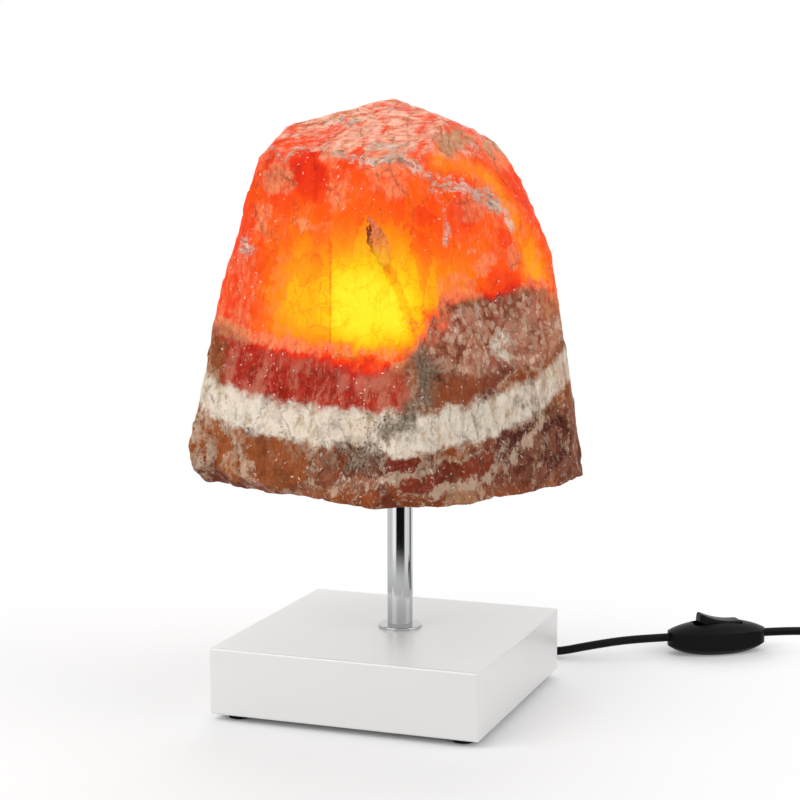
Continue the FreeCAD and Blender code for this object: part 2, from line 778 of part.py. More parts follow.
def cord_inner():
    """Lead inside the lamp: along the channel, round the bend and up the pipe into the holder."""
    exit_point = V(STEM_X, BASE_SIDE / 2, CORD_EXIT_HEIGHT)
    bend_start = V(STEM_X, STEM_Y + INNER_BEND_RADIUS, CORD_EXIT_HEIGHT)
    bend_end = V(STEM_X, STEM_Y, CORD_EXIT_HEIGHT + INNER_BEND_RADIUS)
    inside = INNER_BEND_RADIUS * (1 - math.sqrt(0.5))
    bend_middle = V(STEM_X, STEM_Y + inside, CORD_EXIT_HEIGHT + inside)
    top = V(STEM_X, STEM_Y, CAP_INSIDE + SHEATH_IN_CAP)
    edges = [
        Part.LineSegment(exit_point, bend_start).toShape(),
        Part.Arc(bend_start, bend_middle, bend_end).toShape(),
        Part.LineSegment(bend_end, top).toShape(),
    ]
    return tube("cord_inner", edges, CORD_DIAMETER)


def clamp_centre():
    return V(STEM_X, BASE_SIDE / 2 - CLAMP_FROM_BACK, FOOT_HEIGHT)


def clamp_screw_shanks():
    side = V(CLAMP_SCREW_SPACING / 2, 0, 0)
    low = UP * CLAMP_THICKNESS
    starts = [clamp_centre() - low + side * s for s in (-1, 1)]
    return [(start, start + UP * CLAMP_SCREW_LENGTH) for start in starts]


def cord_clamp():
    """Bar across the channel with a rib that presses the lead up into it."""
    centre = clamp_centre()
    half = V(CLAMP_LENGTH / 2, CLAMP_WIDTH / 2, 0)
    bar = block(centre - half - UP * CLAMP_THICKNESS, centre + half)
    rib_half = V(CHANNEL_WIDTH / 2 - FIT, CLAMP_WIDTH / 2, 0)
    rib_height = CORD_EXIT_HEIGHT - CORD_RADIUS - FIT - FOOT_HEIGHT
    clamp = bar.fuse(block(centre - rib_half, centre + rib_half + UP * rib_height)).removeSplitter()
    for start, end in clamp_screw_shanks():
        clamp = clamp.cut(rod(CLAMP_SCREW_DIAMETER / 2 + SEAT_FIT, start, end))
    return clamp


def cord_clamp_screws():
    screws = []
    for start, end in clamp_screw_shanks():
        head = rod(CLAMP_HEAD_DIAMETER / 2, start - UP * CLAMP_HEAD_HEIGHT, start)
        screws.append(head.fuse(rod(CLAMP_SCREW_DIAMETER / 2, start, end)).removeSplitter())
    return Part.makeCompound(screws)


def switch_place():
    return FreeCAD.Placement(V(SWITCH_X, SWITCH_Y, 0), FreeCAD.Rotation(UP, SWITCH_YAW))


def in_switch(shape):
    """Moves a piece from the switch's own axes to where the switch lies."""
    return shape.transformed(switch_place().toMatrix(), copy=True)


def stretched_ball(length, width, height, level, seam):
    """Ball stretched to these half axes about the level, with its poles at the sides and its seam up or down."""
    ball = Part.makeSphere(1)
    ball.Placement = FreeCAD.Placement(V(0, 0, 0), FreeCAD.Rotation(V(0, 0, seam), V(seam, 0, 0), V(0, 1, 0)))
    stretch = FreeCAD.Matrix()
    stretch.scale(length, width, height)
    return ball.transformGeometry(stretch).translated(UP * level)


def switch_hull():
    """Pebble-shaped housing: an oval wall under a dome, over a belly that lies on a flat keel."""
    long = SWITCH_LENGTH / 2
    wide = SWITCH_WIDTH / 2
    end = SWITCH_END_RADIUS
    side = ((long - end) ** 2 + wide**2 - end**2) / (2 * (wide - end))
    lean = math.atan2(long - end, side - wide)
    x = long - end + end * math.sin(lean)
    y = end * math.cos(lean)
    plan = flat_face(
        across_xy,
        (-x, -y),
        [(0, -wide), (x, -y)],
        [(long, 0), (x, y)],
        [(0, wide), (-x, y)],
        [(-long, 0), (-x, -y)],
    )
    spread = SWITCH_DOME_SPREAD
    dome = stretched_ball(long * spread, wide * spread, SWITCH_DOME, SWITCH_HEIGHT - SWITCH_DOME, -1)
    belly_length = long * SWITCH_BELLY_LENGTH_SPREAD
    belly_width = wide * SWITCH_BELLY_WIDTH_SPREAD
    belly = stretched_ball(belly_length, belly_width, SWITCH_BELLY, SWITCH_BELLY_HEIGHT, 1)
    size = V(SWITCH_LENGTH, SWITCH_LENGTH, 0)
    wall = plan.extrude(UP * SWITCH_HEIGHT)
    upper = wall.common(dome).common(block(UP * SWITCH_SPLIT - size, UP * SWITCH_HEIGHT * 2 + size))
    lower = wall.common(belly).common(block(-size, UP * SWITCH_SPLIT + size))
    return lower, upper


def cord_holes():
    tip = V(SWITCH_LENGTH, 0, 0)
    return rod(CORD_RADIUS + FIT, UP * SWITCH_SPLIT - tip, UP * SWITCH_SPLIT + tip)


def housing_screw_axes():
    """Points below the two housing screws, at opposite corners of the pocket."""
    return [V(s * HOUSING_SCREW_X, -s * HOUSING_SCREW_Y, 0) for s in (-1, 1)]


def pin_slot(radius):
    """Bearing for the rocker's pin, open towards the split."""
    half = POCKET_WIDTH / 2 + PIN_IN_WALL + SEAT_FIT
    low = V(0, -half, ROCKER_PIVOT_HEIGHT)
    high = V(0, half, ROCKER_PIVOT_HEIGHT)
    side = V(radius, 0, 0)
    return rod(radius, low, high).fuse(block(V(0, -half, SWITCH_SPLIT) - side, high + side))


def switch_lower_shell():
    pocket = V(POCKET_LENGTH / 2, POCKET_WIDTH / 2, 0)
    shell = switch_hull()[0]
    shell = shell.cut(block(UP * POCKET_FLOOR - pocket, UP * SWITCH_SPLIT + pocket)).cut(cord_holes())
    for axis in housing_screw_axes():
        head_room = HOUSING_HEAD_LEVEL + HOUSING_HEAD_HEIGHT
        shell = shell.cut(rod(HOUSING_HEAD_DIAMETER / 2 + FIT, axis, axis + UP * head_room))
        shell = shell.cut(rod(HOUSING_SCREW_DIAMETER / 2 + SEAT_FIT, axis, axis + UP * SWITCH_SPLIT))
    return in_switch(shell)


def rocker_window():
    """Opening in the roof, long enough for the pressed end of the rocker."""
    tilt = math.radians(ROCKER_TILT)
    reach = ROCKER_LENGTH / 2 * math.cos(tilt) + ROCKER_RISE * math.sin(tilt) + ROCKER_END_GAP
    half = V(reach, ROCKER_WIDTH / 2 + ROCKER_SIDE_GAP, 0)
    window = block(UP * SWITCH_SPLIT - half, UP * SWITCH_HEIGHT * 2 + half)
    return window.makeFillet(ROCKER_CORNER, [e for e in window.Edges if e.BoundBox.ZLength > SWITCH_HEIGHT])


def switch_upper_shell():
    pocket = V(POCKET_LENGTH / 2, POCKET_WIDTH / 2, 0)
    shell = switch_hull()[1]
    shell = shell.cut(block(UP * SWITCH_SPLIT - pocket, UP * POCKET_ROOF + pocket)).cut(cord_holes())
    shell = shell.cut(rocker_window()).cut(pin_slot(PIN_DIAMETER / 2 + SEAT_FIT))
    for axis in housing_screw_axes():
        top = axis + UP * (SWITCH_SPLIT + HOUSING_SCREW_GRIP)
        shell = shell.cut(rod(HOUSING_SCREW_DIAMETER / 2 + SEAT_FIT, axis, top))
    return in_switch(shell)


def tilted(shape):
    """Turns a piece of the rocker about its pin to where it rests, switched on."""
    shape.rotate(UP * ROCKER_PIVOT_HEIGHT, V(0, 1, 0), ROCKER_TILT)
    return in_switch(shape)


def switch_rocker():
    """Paddle with a dished top, a hub on the pin and a foot that carries the bridge."""
    half = ROCKER_LENGTH / 2
    foot_half = BRIDGE_WIDTH / 2
    skirt = half - ROCKER_SIDE_GAP
    side = flat_face(
        across_xz,
        (-half, ROCKER_RISE),
        [(0, ROCKER_RISE - ROCKER_DIP), (half, ROCKER_RISE)],
        [(skirt, ROCKER_RISE / 3)],
        [(ROCKER_HUB, 0)],
        [(foot_half, -ROCKER_FOOT)],
        [(-foot_half, -ROCKER_FOOT)],
        [(-ROCKER_HUB, 0)],
        [(-skirt, ROCKER_RISE / 3)],
        [(-half, ROCKER_RISE)],
    )
    half_width = V(0, ROCKER_WIDTH / 2, 0)
    body = side.translated(-half_width).extrude(half_width * 2)
    ends = [e for e in body.Edges if abs(e.CenterOfMass.x) > skirt and e.BoundBox.ZLength > ROCKER_RISE / 2]
    body = body.makeFillet(ROCKER_CORNER, ends)
    rim = [e for e in body.Edges if e.BoundBox.ZMin > ROCKER_RISE / 2]
    body = body.makeFillet(ROCKER_ROUND, rim)
    body = body.cut(rod(PIN_DIAMETER / 2 + RUNNING_FIT, -half_width * 2, half_width * 2))
    return tilted(body.translated(UP * ROCKER_PIVOT_HEIGHT))


def switch_pin():
    half = V(0, POCKET_WIDTH / 2 + PIN_IN_WALL, 0)
    axis = UP * ROCKER_PIVOT_HEIGHT
    return in_switch(rod(PIN_DIAMETER / 2, axis - half, axis + half))


def bridge_level():
    return ROCKER_PIVOT_HEIGHT - ROCKER_FOOT


def contact_bridge():
    half = V(BRIDGE_LENGTH / 2, BRIDGE_WIDTH / 2, 0)
    top = UP * bridge_level()
    return tilted(block(top - half - UP * BRIDGE_THICKNESS, top + half))


def terminal(along, across):
    """Brass block in one corner of the pocket: along and across are -1 or 1."""
    low = V(along * TERMINAL_X - TERMINAL_LENGTH / 2, across * (TERMINAL_GAP + TERMINAL_WIDTH) / 2, POCKET_FLOOR)
    low = low - V(0, TERMINAL_WIDTH / 2, 0)
    return block(low, low + V(TERMINAL_LENGTH, TERMINAL_WIDTH, TERMINAL_HEIGHT))


def strap(x_low, x_high, y_low):
    low = V(x_low, y_low, POCKET_FLOOR)
    return block(low, low + V(x_high - x_low, STRAP_WIDTH, STRAP_THICKNESS))


def switch_terminals():
    """Live in with its feed post, live out with its contact, and the neutral bar that runs through."""
    tilt = math.radians(ROCKER_TILT)
    reach = TERMINAL_X - TERMINAL_LENGTH / 2
    depth = ROCKER_FOOT + BRIDGE_THICKNESS
    live_y = TERMINAL_GAP / 2
    post_half = V(CONTACT_LENGTH / 2, BRIDGE_WIDTH / 4, 0)
    feed_top = UP * (ROCKER_PIVOT_HEIGHT - depth / math.cos(tilt) - CONTACT_LENGTH / 2 * math.tan(tilt) - CONTACT_GAP)
    floor = UP * POCKET_FLOOR
    live_in = terminal(-1, 1).fuse(strap(-reach, 0, live_y)).fuse(block(floor - post_half, feed_top + post_half))
    tip_x = BRIDGE_LENGTH / 2 * math.cos(tilt) - depth * math.sin(tilt)
    tip_z = ROCKER_PIVOT_HEIGHT - depth * math.cos(tilt) - BRIDGE_LENGTH / 2 * math.sin(tilt)
    at_tip = V(tip_x, 0, 0)
    contact_top = UP * (tip_z - CONTACT_GAP)
    live_out = terminal(1, 1).fuse(strap(tip_x, reach, live_y))
    live_out = live_out.fuse(block(floor + at_tip - post_half, contact_top + at_tip + post_half))
    neutral_y = -live_y - TERMINAL_WIDTH
    neutral = terminal(-1, -1).fuse(terminal(1, -1)).fuse(strap(-reach, reach, neutral_y))
    return in_switch(Part.makeCompound([s.removeSplitter() for s in (live_in, live_out, neutral)]))


def switch_wires():
    """Conductors that curve from the ends of the sheath down into the four terminals."""
    wires = []
    top = POCKET_FLOOR + TERMINAL_HEIGHT
    bend = SWITCH_SPLIT - top
    bow = bend * math.sqrt(0.5)
    for along in (-1, 1):
        for across in (-1, 1):
            y = across * CONDUCTOR_SPACING / 2
            sheath = V(along * (SWITCH_LENGTH / 2 - CORD_IN_SWITCH), y, SWITCH_SPLIT)
            start = V(along * (TERMINAL_X + bend), y, SWITCH_SPLIT)
            middle = V(along * (TERMINAL_X + bend - bow), y, top + bow)
            end = V(along * TERMINAL_X, y, top)
            edges = [Part.Arc(start, middle, end).toShape()]
            if (sheath - start).Length > FIT:
                edges.insert(0, Part.LineSegment(sheath, start).toShape())
            wires.append(tube("switch wire", edges, CONDUCTOR_DIAMETER))
    return in_switch(Part.makeCompound(wires))


def switch_screws():
    screws = []
    for axis in housing_screw_axes():
        head_top = axis + UP * (HOUSING_HEAD_LEVEL + HOUSING_HEAD_HEIGHT)
        head = rod(HOUSING_HEAD_DIAMETER / 2, axis + UP * HOUSING_HEAD_LEVEL, head_top)
        tip = axis + UP * (SWITCH_SPLIT + HOUSING_SCREW_GRIP)
        screws.append(head.fuse(rod(HOUSING_SCREW_DIAMETER / 2, head_top, tip)).removeSplitter())
    return in_switch(Part.makeCompound(screws))


def on_switch_axis(x):
    """Point on the lead's line through the switch, x along it from the middle."""
    return switch_place().multVec(V(x, 0, SWITCH_SPLIT))


def cord_lead():
    """Lead from the back of the base to the inside of the switch."""
    end = SWITCH_LENGTH / 2
    points = [V(STEM_X, BASE_SIDE / 2, CORD_EXIT_HEIGHT)]
    points += LEAD_POINTS
    points += [on_switch_axis(-end - LEAD_TO_SWITCH), on_switch_axis(-end + CORD_IN_SWITCH)]
    return tube("cord_lead", rounded_route("cord_lead", points), CORD_DIAMETER)


def coil_start():
    return V(COIL_X - CORD_DIAMETER, COIL_Y + COIL_OUTER_RADIUS, COIL_FLOOR)


def cord_run():
    """Lead from the inside of the switch to the first turn of the coil."""
    end = SWITCH_LENGTH / 2
    points = [on_switch_axis(end - CORD_IN_SWITCH), on_switch_axis(end + RUN_FROM_SWITCH)]
    points += RUN_POINTS
    points += [coil_start() - V(RUN_TO_COIL, 0, 0), coil_start()]
    return tube("cord_run", rounded_route("cord_run", points), CORD_DIAMETER)


def coil_point(turns):
    """Middle of the cord after so many clockwise turns: in on the floor, up, and out again on top."""
    past = turns - COIL_TURNS_IN
    climb = min(max(past / COIL_CLIMB_TURNS + 0.5, 0), 1)
    radius = COIL_INNER_RADIUS + COIL_PITCH * abs(past)
    angle = math.radians(90) - 2 * math.pi * turns
    height = COIL_FLOOR + COIL_PITCH * climb * climb * (3 - 2 * climb)
    return V(COIL_X + radius * math.cos(angle), COIL_Y + radius * math.sin(angle), height)


def bowed_arc(start, heading, end):
    """Arc from start, leaving along heading, to end."""
    chord = end - start
    along = unit(chord)
    half = heading.getAngle(chord) / 2
    outward = unit(heading - along * heading.dot(along))
    middle = (start + end) * 0.5 + outward * (chord.Length / 2 * math.tan(half))
    return Part.Arc(start, middle, end).toShape()


def biarc(start, heading, end, arrival):
    """Two tangent arcs from start to end with the headings given there."""
    gap = end - start
    both = heading + arrival
    spread = 2 * (1 - heading.dot(arrival))
    reach = (math.sqrt(gap.dot(both) ** 2 + spread * gap.dot(gap)) - gap.dot(both)) / spread
    joint = (start + heading * reach + end - arrival * reach) * 0.5
    back = bowed_arc(end, -arrival, joint)
    return [bowed_arc(start, heading, joint), Part.Arc(joint, back.valueAt(sum(back.ParameterRange) / 2), end).toShape()]


def cord_coil():
    """Put-away turns of the lead, two layers, with a straight end on each side."""
    quarters = round((COIL_TURNS_IN + COIL_TURNS_OUT) * 4)
    nodes = [coil_point(k / 4) for k in range(quarters + 1)]
    step = 1 / 32
    headings = [unit(coil_point(k / 4 + step) - coil_point(k / 4 - step)) for k in range(quarters + 1)]
    headings[0] = V(1, 0, 0)
    headings[-1] = V(0, -1, 0)
    edges = [Part.LineSegment(coil_start(), nodes[0]).toShape()]
    for k in range(quarters):
        edges += biarc(nodes[k], headings[k], nodes[k + 1], headings[k + 1])
    edges.append(Part.LineSegment(nodes[-1], coil_end()).toShape())
    print("coil gap to itself", round(least_gap(edges), 2))
    return tube("cord_coil", edges, CORD_DIAMETER)


def least_gap(edges):
    """Least clear distance between stretches of a wound cord that are far apart along it."""
    points = Part.Wire(edges).discretize(Distance=CORD_RADIUS)
    apart = 8
    pairs = ((p, q) for k, p in enumerate(points) for q in points[k + apart :])
    return min((p - q).Length for p, q in pairs) - CORD_DIAMETER


def coil_end():
    return V(COIL_X + COIL_END_RADIUS, COIL_Y - CORD_DIAMETER, COIL_FLOOR + COIL_PITCH)


def coil_tie():
    """Strap round all the turns on the near side of the coil."""
    near = COIL_Y - COIL_OUTER_RADIUS + COIL_PITCH / 2 - CORD_RADIUS - TIE_SIDE_SLACK
    far = COIL_Y - COIL_INNER_RADIUS - COIL_PITCH / 4 + CORD_RADIUS + TIE_SIDE_SLACK
    low = COIL_FLOOR - CORD_RADIUS - TIE_SLACK
    high = COIL_FLOOR + COIL_PITCH + CORD_RADIUS + TIE_SLACK

    def band(grow):
        solid = block(V(0, near - grow, low - grow), V(TIE_WIDTH, far + grow, high + grow))
        corners = [e for e in solid.Edges if abs(e.tangentAt(e.FirstParameter).x) > 0.5]
        return solid.makeFillet(TIE_CORNER + grow, corners)

    return band(TIE_THICKNESS).cut(band(0)).translated(V(COIL_X - TIE_WIDTH / 2, 0, 0))


def plug_heading():
    a = math.radians(PLUG_YAW)
    return V(math.cos(a), math.sin(a), 0)


def tail_points():
    points = [coil_end()] + [coil_end() + p for p in TAIL_POINTS]
    points[-1].z = PLUG_AXIS_HEIGHT
    return points + [points[-1] + plug_heading() * TAIL_TO_PLUG]


def cord_tail():
    return tube("cord_tail", rounded_route("cord_tail", tail_points()), CORD_DIAMETER)


def in_plug(shape):
    """Moves a piece from the plug's own axes, pins along +X, to the end of the lead."""
    place = FreeCAD.Placement(tail_points()[-1], FreeCAD.Rotation(UP, PLUG_YAW))
    return shape.transformed(place.toMatrix(), copy=True)


def plug_relief():
    """Ribbed bend relief that tapers from the body to the lead."""
    rear = PLUG_RELIEF_REAR / 2
    front = PLUG_RELIEF_FRONT / 2
    points = ((0, 0), (0, rear), (PLUG_RELIEF_LENGTH, front), (PLUG_RELIEF_LENGTH, 0))
    relief = polygon_face(across_xz, *points).revolve(V(), V(1, 0, 0), 360)
    pitch = PLUG_RELIEF_LENGTH / (PLUG_RELIEF_GROOVES + 1)
    for k in range(PLUG_RELIEF_GROOVES):
        x = pitch * (k + 1) - PLUG_GROOVE_WIDTH / 2
        skin = rear + (front - rear) * x / PLUG_RELIEF_LENGTH
        ring = Part.makeCylinder(PLUG_WIDTH, PLUG_GROOVE_WIDTH, V(x, 0, 0), V(1, 0, 0))
        core = Part.makeCylinder(skin - PLUG_GROOVE_DEPTH, PLUG_GROOVE_WIDTH, V(x, 0, 0), V(1, 0, 0))
        relief = relief.cut(ring.cut(core))
    return relief


def plug_body():
    """Flat moulded body, where its plan, side and front outlines meet, with the bend relief."""
    rear = PLUG_RELIEF_LENGTH
    grip = PLUG_FACE - PLUG_GRIP_LENGTH
    wide = PLUG_WIDTH / 2
    slim = PLUG_REAR_WIDTH / 2
    thick = PLUG_THICKNESS / 2
    thin = PLUG_REAR_THICKNESS / 2
    neck = ((rear + grip) / 2, slim + (wide - slim) * 0.3)
    plan = flat_face(
        across_xy,
        (rear, -slim),
        [(neck[0], -neck[1]), (grip, -wide)],
        [(PLUG_FACE, -wide)],
        [(PLUG_FACE, wide)],
        [(grip, wide)],
        [neck, (rear, slim)],
        [(rear, -slim)],
    )
    side = polygon_face(
        across_xz,
        (rear, -thin),
        (grip, -thick),
        (PLUG_FACE, -thick),
        (PLUG_FACE, thick),
        (grip, thick),
        (rear, thin),
    )
    flat = PLUG_FLAT_WIDTH / 2
    edge = PLUG_SIDE_HEIGHT / 2
    front = polygon_face(
        across_yz,
        (-flat, -thick),
        (flat, -thick),
        (wide, -edge),
        (wide, edge),
        (flat, thick),
        (-flat, thick),
        (-wide, edge),
        (-wide, -edge),
    )
    body = plan.translated(V(0, 0, -thick)).extrude(UP * PLUG_THICKNESS)
    body = body.common(side.translated(V(0, -wide, 0)).extrude(V(0, PLUG_WIDTH, 0)))
    body = body.common(front.extrude(V(PLUG_FACE, 0, 0)))
    face_edges = [e for e in body.Edges if e.BoundBox.XMin > PLUG_FACE - PLUG_ROUND]
    body = body.makeFillet(PLUG_ROUND, face_edges)
    return in_plug(body.fuse(plug_relief()).removeSplitter())


def plug_pins():
    pins = []
    core = PLUG_CORE_DIAMETER / 2
    tip = PLUG_PIN_DIAMETER / 2
    sleeve_end = PLUG_FACE + PLUG_SLEEVE_LENGTH
    nose = PLUG_FACE + PLUG_PIN_LENGTH
    bow = tip * math.sqrt(0.5)
    face = flat_face(
        across_xz,
        (PLUG_FACE, 0),
        [(PLUG_FACE, core)],
        [(sleeve_end, core)],
        [(sleeve_end, tip)],
        [(nose - tip, tip)],
        [(nose - tip + bow, bow), (nose, 0)],
        [(PLUG_FACE, 0)],
    )
    for side in (-1, 1):
        pin = face.revolve(V(), V(1, 0, 0), 360)
        pins.append(pin.translated(V(0, side * PLUG_PIN_SPACING / 2, 0)))
    return in_plug(Part.makeCompound(pins))


def plug_pin_sleeves():
    sleeves = []
    for side in (-1, 1):
        start = V(PLUG_FACE, side * PLUG_PIN_SPACING / 2, 0)
        end = start + V(PLUG_SLEEVE_LENGTH, 0, 0)
        sleeve = rod(PLUG_SLEEVE_DIAMETER / 2, start, end).cut(rod(PLUG_CORE_DIAMETER / 2 + SEAT_FIT, start, end))
        sleeves.append(sleeve)
    return in_plug(Part.makeCompound(sleeves))


def nodes():
    """Every piece of the lamp by name."""
    reach = BASE_SIDE / 2 - FOOT_SETBACK
    shell = SHELL_BORE / 2
    pad_inner = CAVITY_DIAMETER / 2 + PAD_SETBACK
    return {
        "base_block": base_block(),
        "foot_front_left": foot(-reach, -reach),
        "foot_front_right": foot(reach, -reach),
        "foot_back_left": foot(-reach, reach),
        "foot_back_right": foot(reach, reach),
        "flange": flange(),
        "stem_tube": turned_ring(TUBE_DIAMETER / 2, TUBE_BORE_RADIUS, FLANGE_TOP, SEAT_BOTTOM),
        "threaded_pipe": turned_ring(PIPE_DIAMETER / 2, PIPE_BORE / 2, PIPE_BOTTOM, PIPE_TOP),
        "base_washer": turned_ring(WASHER_DIAMETER / 2, PIPE_HOLE_RADIUS, WASHER_BOTTOM, WASHER_BOTTOM + WASHER_THICKNESS),
        "base_nut": hex_nut(BASE_NUT_BOTTOM),
        "seat_plate": seat_plate(),
        "seat_pad": turned_ring(SEAT_DIAMETER / 2 - PAD_SETBACK, pad_inner, SEAT_TOP, STONE_BOTTOM),
        "plate_nut": hex_nut(SEAT_TOP),
        "stone": stone(),
        "holder_cap": holder_cap(),
        "holder_grub_screw": rod(GRUB_DIAMETER / 2, *grub_ends()),
        "holder_barrel": holder_barrel(),
        "holder_insert": holder_insert(),
        "holder_screw_shell": turned_ring(shell + SHELL_WALL, shell, INSERT_TOP, INSERT_TOP + SHELL_HEIGHT),
        "holder_centre_contact": on_stem(
            Part.makeCylinder(CENTRE_CONTACT_DIAMETER / 2, CENTRE_CONTACT_THICKNESS, UP * INSERT_TOP)
        ),
        "holder_wires": holder_wires(),
        "bulb_glass": bulb_glass(),
        "bulb_cap": bulb_cap(),
        "bulb_insulator": bulb_insulator(),
        "bulb_contact": bulb_contact(),
        "bulb_stem": bulb_stem(),
        "bulb_leads": bulb_leads(),
        "bulb_filament": bulb_filament(),
        "cord_inner": cord_inner(),
        "cord_clamp": cord_clamp(),
        "cord_clamp_screws": cord_clamp_screws(),
        "cord_lead": cord_lead(),
        "switch_lower_shell": switch_lower_shell(),
        "switch_upper_shell": switch_upper_shell(),
        "switch_rocker": switch_rocker(),
        "switch_pin": switch_pin(),
        "contact_bridge": contact_bridge(),
        "switch_terminals": switch_terminals(),
        "switch_wires": switch_wires(),
        "switch_screws": switch_screws(),
        "cord_run": cord_run(),
        "cord_coil": cord_coil(),
        "coil_tie": coil_tie(),
        "cord_tail": cord_tail(),
        "plug_body": plug_body(),
        "plug_pins": plug_pins(),
        "plug_pin_sleeves": plug_pin_sleeves(),
    }


os.makedirs("parts", exist_ok=True)
for name, shape in nodes().items():
    shape.exportStep(f"parts/{name}.step")
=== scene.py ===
"""A lit block of aragonite on a chrome stem: the looks, the mains lead and the studio over the packed frame."""
import math

import bmesh
import bpy
import numpy as np
from bpy.props import FloatProperty, FloatVectorProperty, IntProperty, PointerProperty
from mathutils import Matrix, Vector


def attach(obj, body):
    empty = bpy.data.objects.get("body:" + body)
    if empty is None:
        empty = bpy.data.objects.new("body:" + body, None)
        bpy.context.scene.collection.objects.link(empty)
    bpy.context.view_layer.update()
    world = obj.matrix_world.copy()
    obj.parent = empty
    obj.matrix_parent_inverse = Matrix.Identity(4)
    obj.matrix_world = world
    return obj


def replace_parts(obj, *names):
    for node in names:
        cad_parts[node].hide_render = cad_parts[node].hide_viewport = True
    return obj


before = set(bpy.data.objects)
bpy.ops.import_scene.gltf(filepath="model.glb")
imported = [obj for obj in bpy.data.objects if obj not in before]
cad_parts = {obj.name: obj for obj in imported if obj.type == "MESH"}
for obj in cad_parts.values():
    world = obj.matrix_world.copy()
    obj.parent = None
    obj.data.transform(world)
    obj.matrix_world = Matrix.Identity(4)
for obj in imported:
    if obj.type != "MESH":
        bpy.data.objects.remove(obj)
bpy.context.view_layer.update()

bl_info = {
    "name": "Aragonite Lamp",
    "version": (1, 0, 0),
    "blender": (4, 5, 0),
    "location": "View3D > Sidebar > Lamp",
    "description": "Dresses the lamp's frame: stone, base, stem, holder, bulb, lead, switch, plug and studio",
    "category": "Object",
}

MM = 0.001
# How far the front view is turned about the upright.
FRONT_TURN = math.radians(20)

# In millimetres from above: the stem's axis, the middle of the switch and the direction across it.
STEM = (4, 4)
SWITCH = (151, 161)
SWITCH_ACROSS = (-0.53, 0.848)


def srgb(red, green, blue):
    """A colour as picked from a screen, 0 to 255, turned into the linear values that nodes take."""
    linear = []
    for level in (red, green, blue):
        share = level / 255
        linear.append(share / 12.92 if share <= 0.04045 else ((share + 0.055) / 1.055) ** 2.4)
    return (*linear, 1.0)


def shaded(tone, share):
    """A tone with its light multiplied by a share."""
    return (*(level * share for level in tone[:3]), 1)


def colour(name, description, red, green, blue):
    return FloatVectorProperty(
        name=name, description=description, subtype="COLOR", size=4, min=0, max=1, default=srgb(red, green, blue)
    )


def length(name, description, default):
    return FloatProperty(name=name, description=description, unit="LENGTH", default=default, min=0)


def power(name, description, default):
    return FloatProperty(name=name, description=description, unit="POWER", default=default, min=0)


class StoneSettings(bpy.types.PropertyGroup):
    """Relief, colours and glow of the stone."""

    voxel: length("Mesh Size", "Side of the cells that the stone is remeshed with", 1.5 * MM)
    flake_size: length("Flake Size", "Width of the large broken faces", 30 * MM)
    flake_depth: length("Flake Depth", "How far the large faces tilt in and out", 0.8 * MM)
    chip_size: length("Chip Size", "Width of the small broken faces", 9 * MM)
    chip_depth: length("Chip Depth", "How far the small faces tilt in and out", 0.8 * MM)
    grain_size: length("Grain Size", "Width of the crystal grain", 3 * MM)
    grain_depth: length("Grain Depth", "Height of the crystal grain", 0.35 * MM)
    seed: IntProperty(name="Seed", description="Picks another set of breaks", default=4, min=0)
    glow: FloatProperty(
        name="Glow", description="Strength of the light that comes through", subtype="FACTOR", default=1, min=0, max=2
    )
    white: colour("White Band", "Band of white aragonite", 236, 222, 204)
    cream: colour("Cream", "Veins and rind", 212, 192, 170)
    frost: colour("Frost", "Bruised crystal on the broken faces", 222, 158, 102)
    crimson: colour("Crimson", "Red layer over the white band", 176, 34, 20)
    ochre: colour("Ochre", "Honey brown crystal", 160, 82, 32)
    umber: colour("Umber", "Dark red brown crystal", 104, 46, 28)


class BaseSettings(bpy.types.PropertyGroup):
    """Lacquer of the base block and rubber of its feet."""

    lacquer: colour("Lacquer", "White paint on the block", 225, 224, 223)
    rubber: colour("Rubber", "Feet", 22, 22, 23)
    peel: length("Orange Peel", "Width of the ripples in the paint", 1.6 * MM)


class MetalSettings(bpy.types.PropertyGroup):
    """Plating of the stem and of the small metal parts."""

    chrome: colour("Chrome", "Stem tube and flange", 236, 237, 238)
    zinc: colour("Zinc", "Plated steel fasteners", 176, 178, 180)
    brass: colour("Brass", "Contacts", 214, 176, 98)
    nickel: colour("Nickel", "Plug pins and bulb cap", 206, 204, 198)


class LeadSettings(bpy.types.PropertyGroup):
    """Mains lead and the black mouldings on it."""

    diameter: length("Diameter", "Thickness of the lead", 5 * MM)
    sheath: colour("Sheath", "Skin of the lead", 12, 12, 13)
    moulding: colour("Moulding", "Switch and plug", 11, 11, 12)
    turn_points: IntProperty(name="Points in a Turn", description="Spline points in a turn of the coil", default=20)


class StageSettings(bpy.types.PropertyGroup):
    """Studio: floor, lamps and camera."""

    floor: colour("Floor", "Floor near the lamp", 246, 246, 246)
    fill: FloatProperty(name="Fill", description="Strength of the even light", default=0.66, min=0)
    key: power("Key", "Power of the soft lamp on the left", 10)
    side: power("Side", "Power of the soft lamp on the right", 3.5)
    back: power("Back", "Power of the soft lamp at the back", 6.5)
    lens: FloatProperty(name="Lens", description="Focal length in mm", default=85.57, min=1)


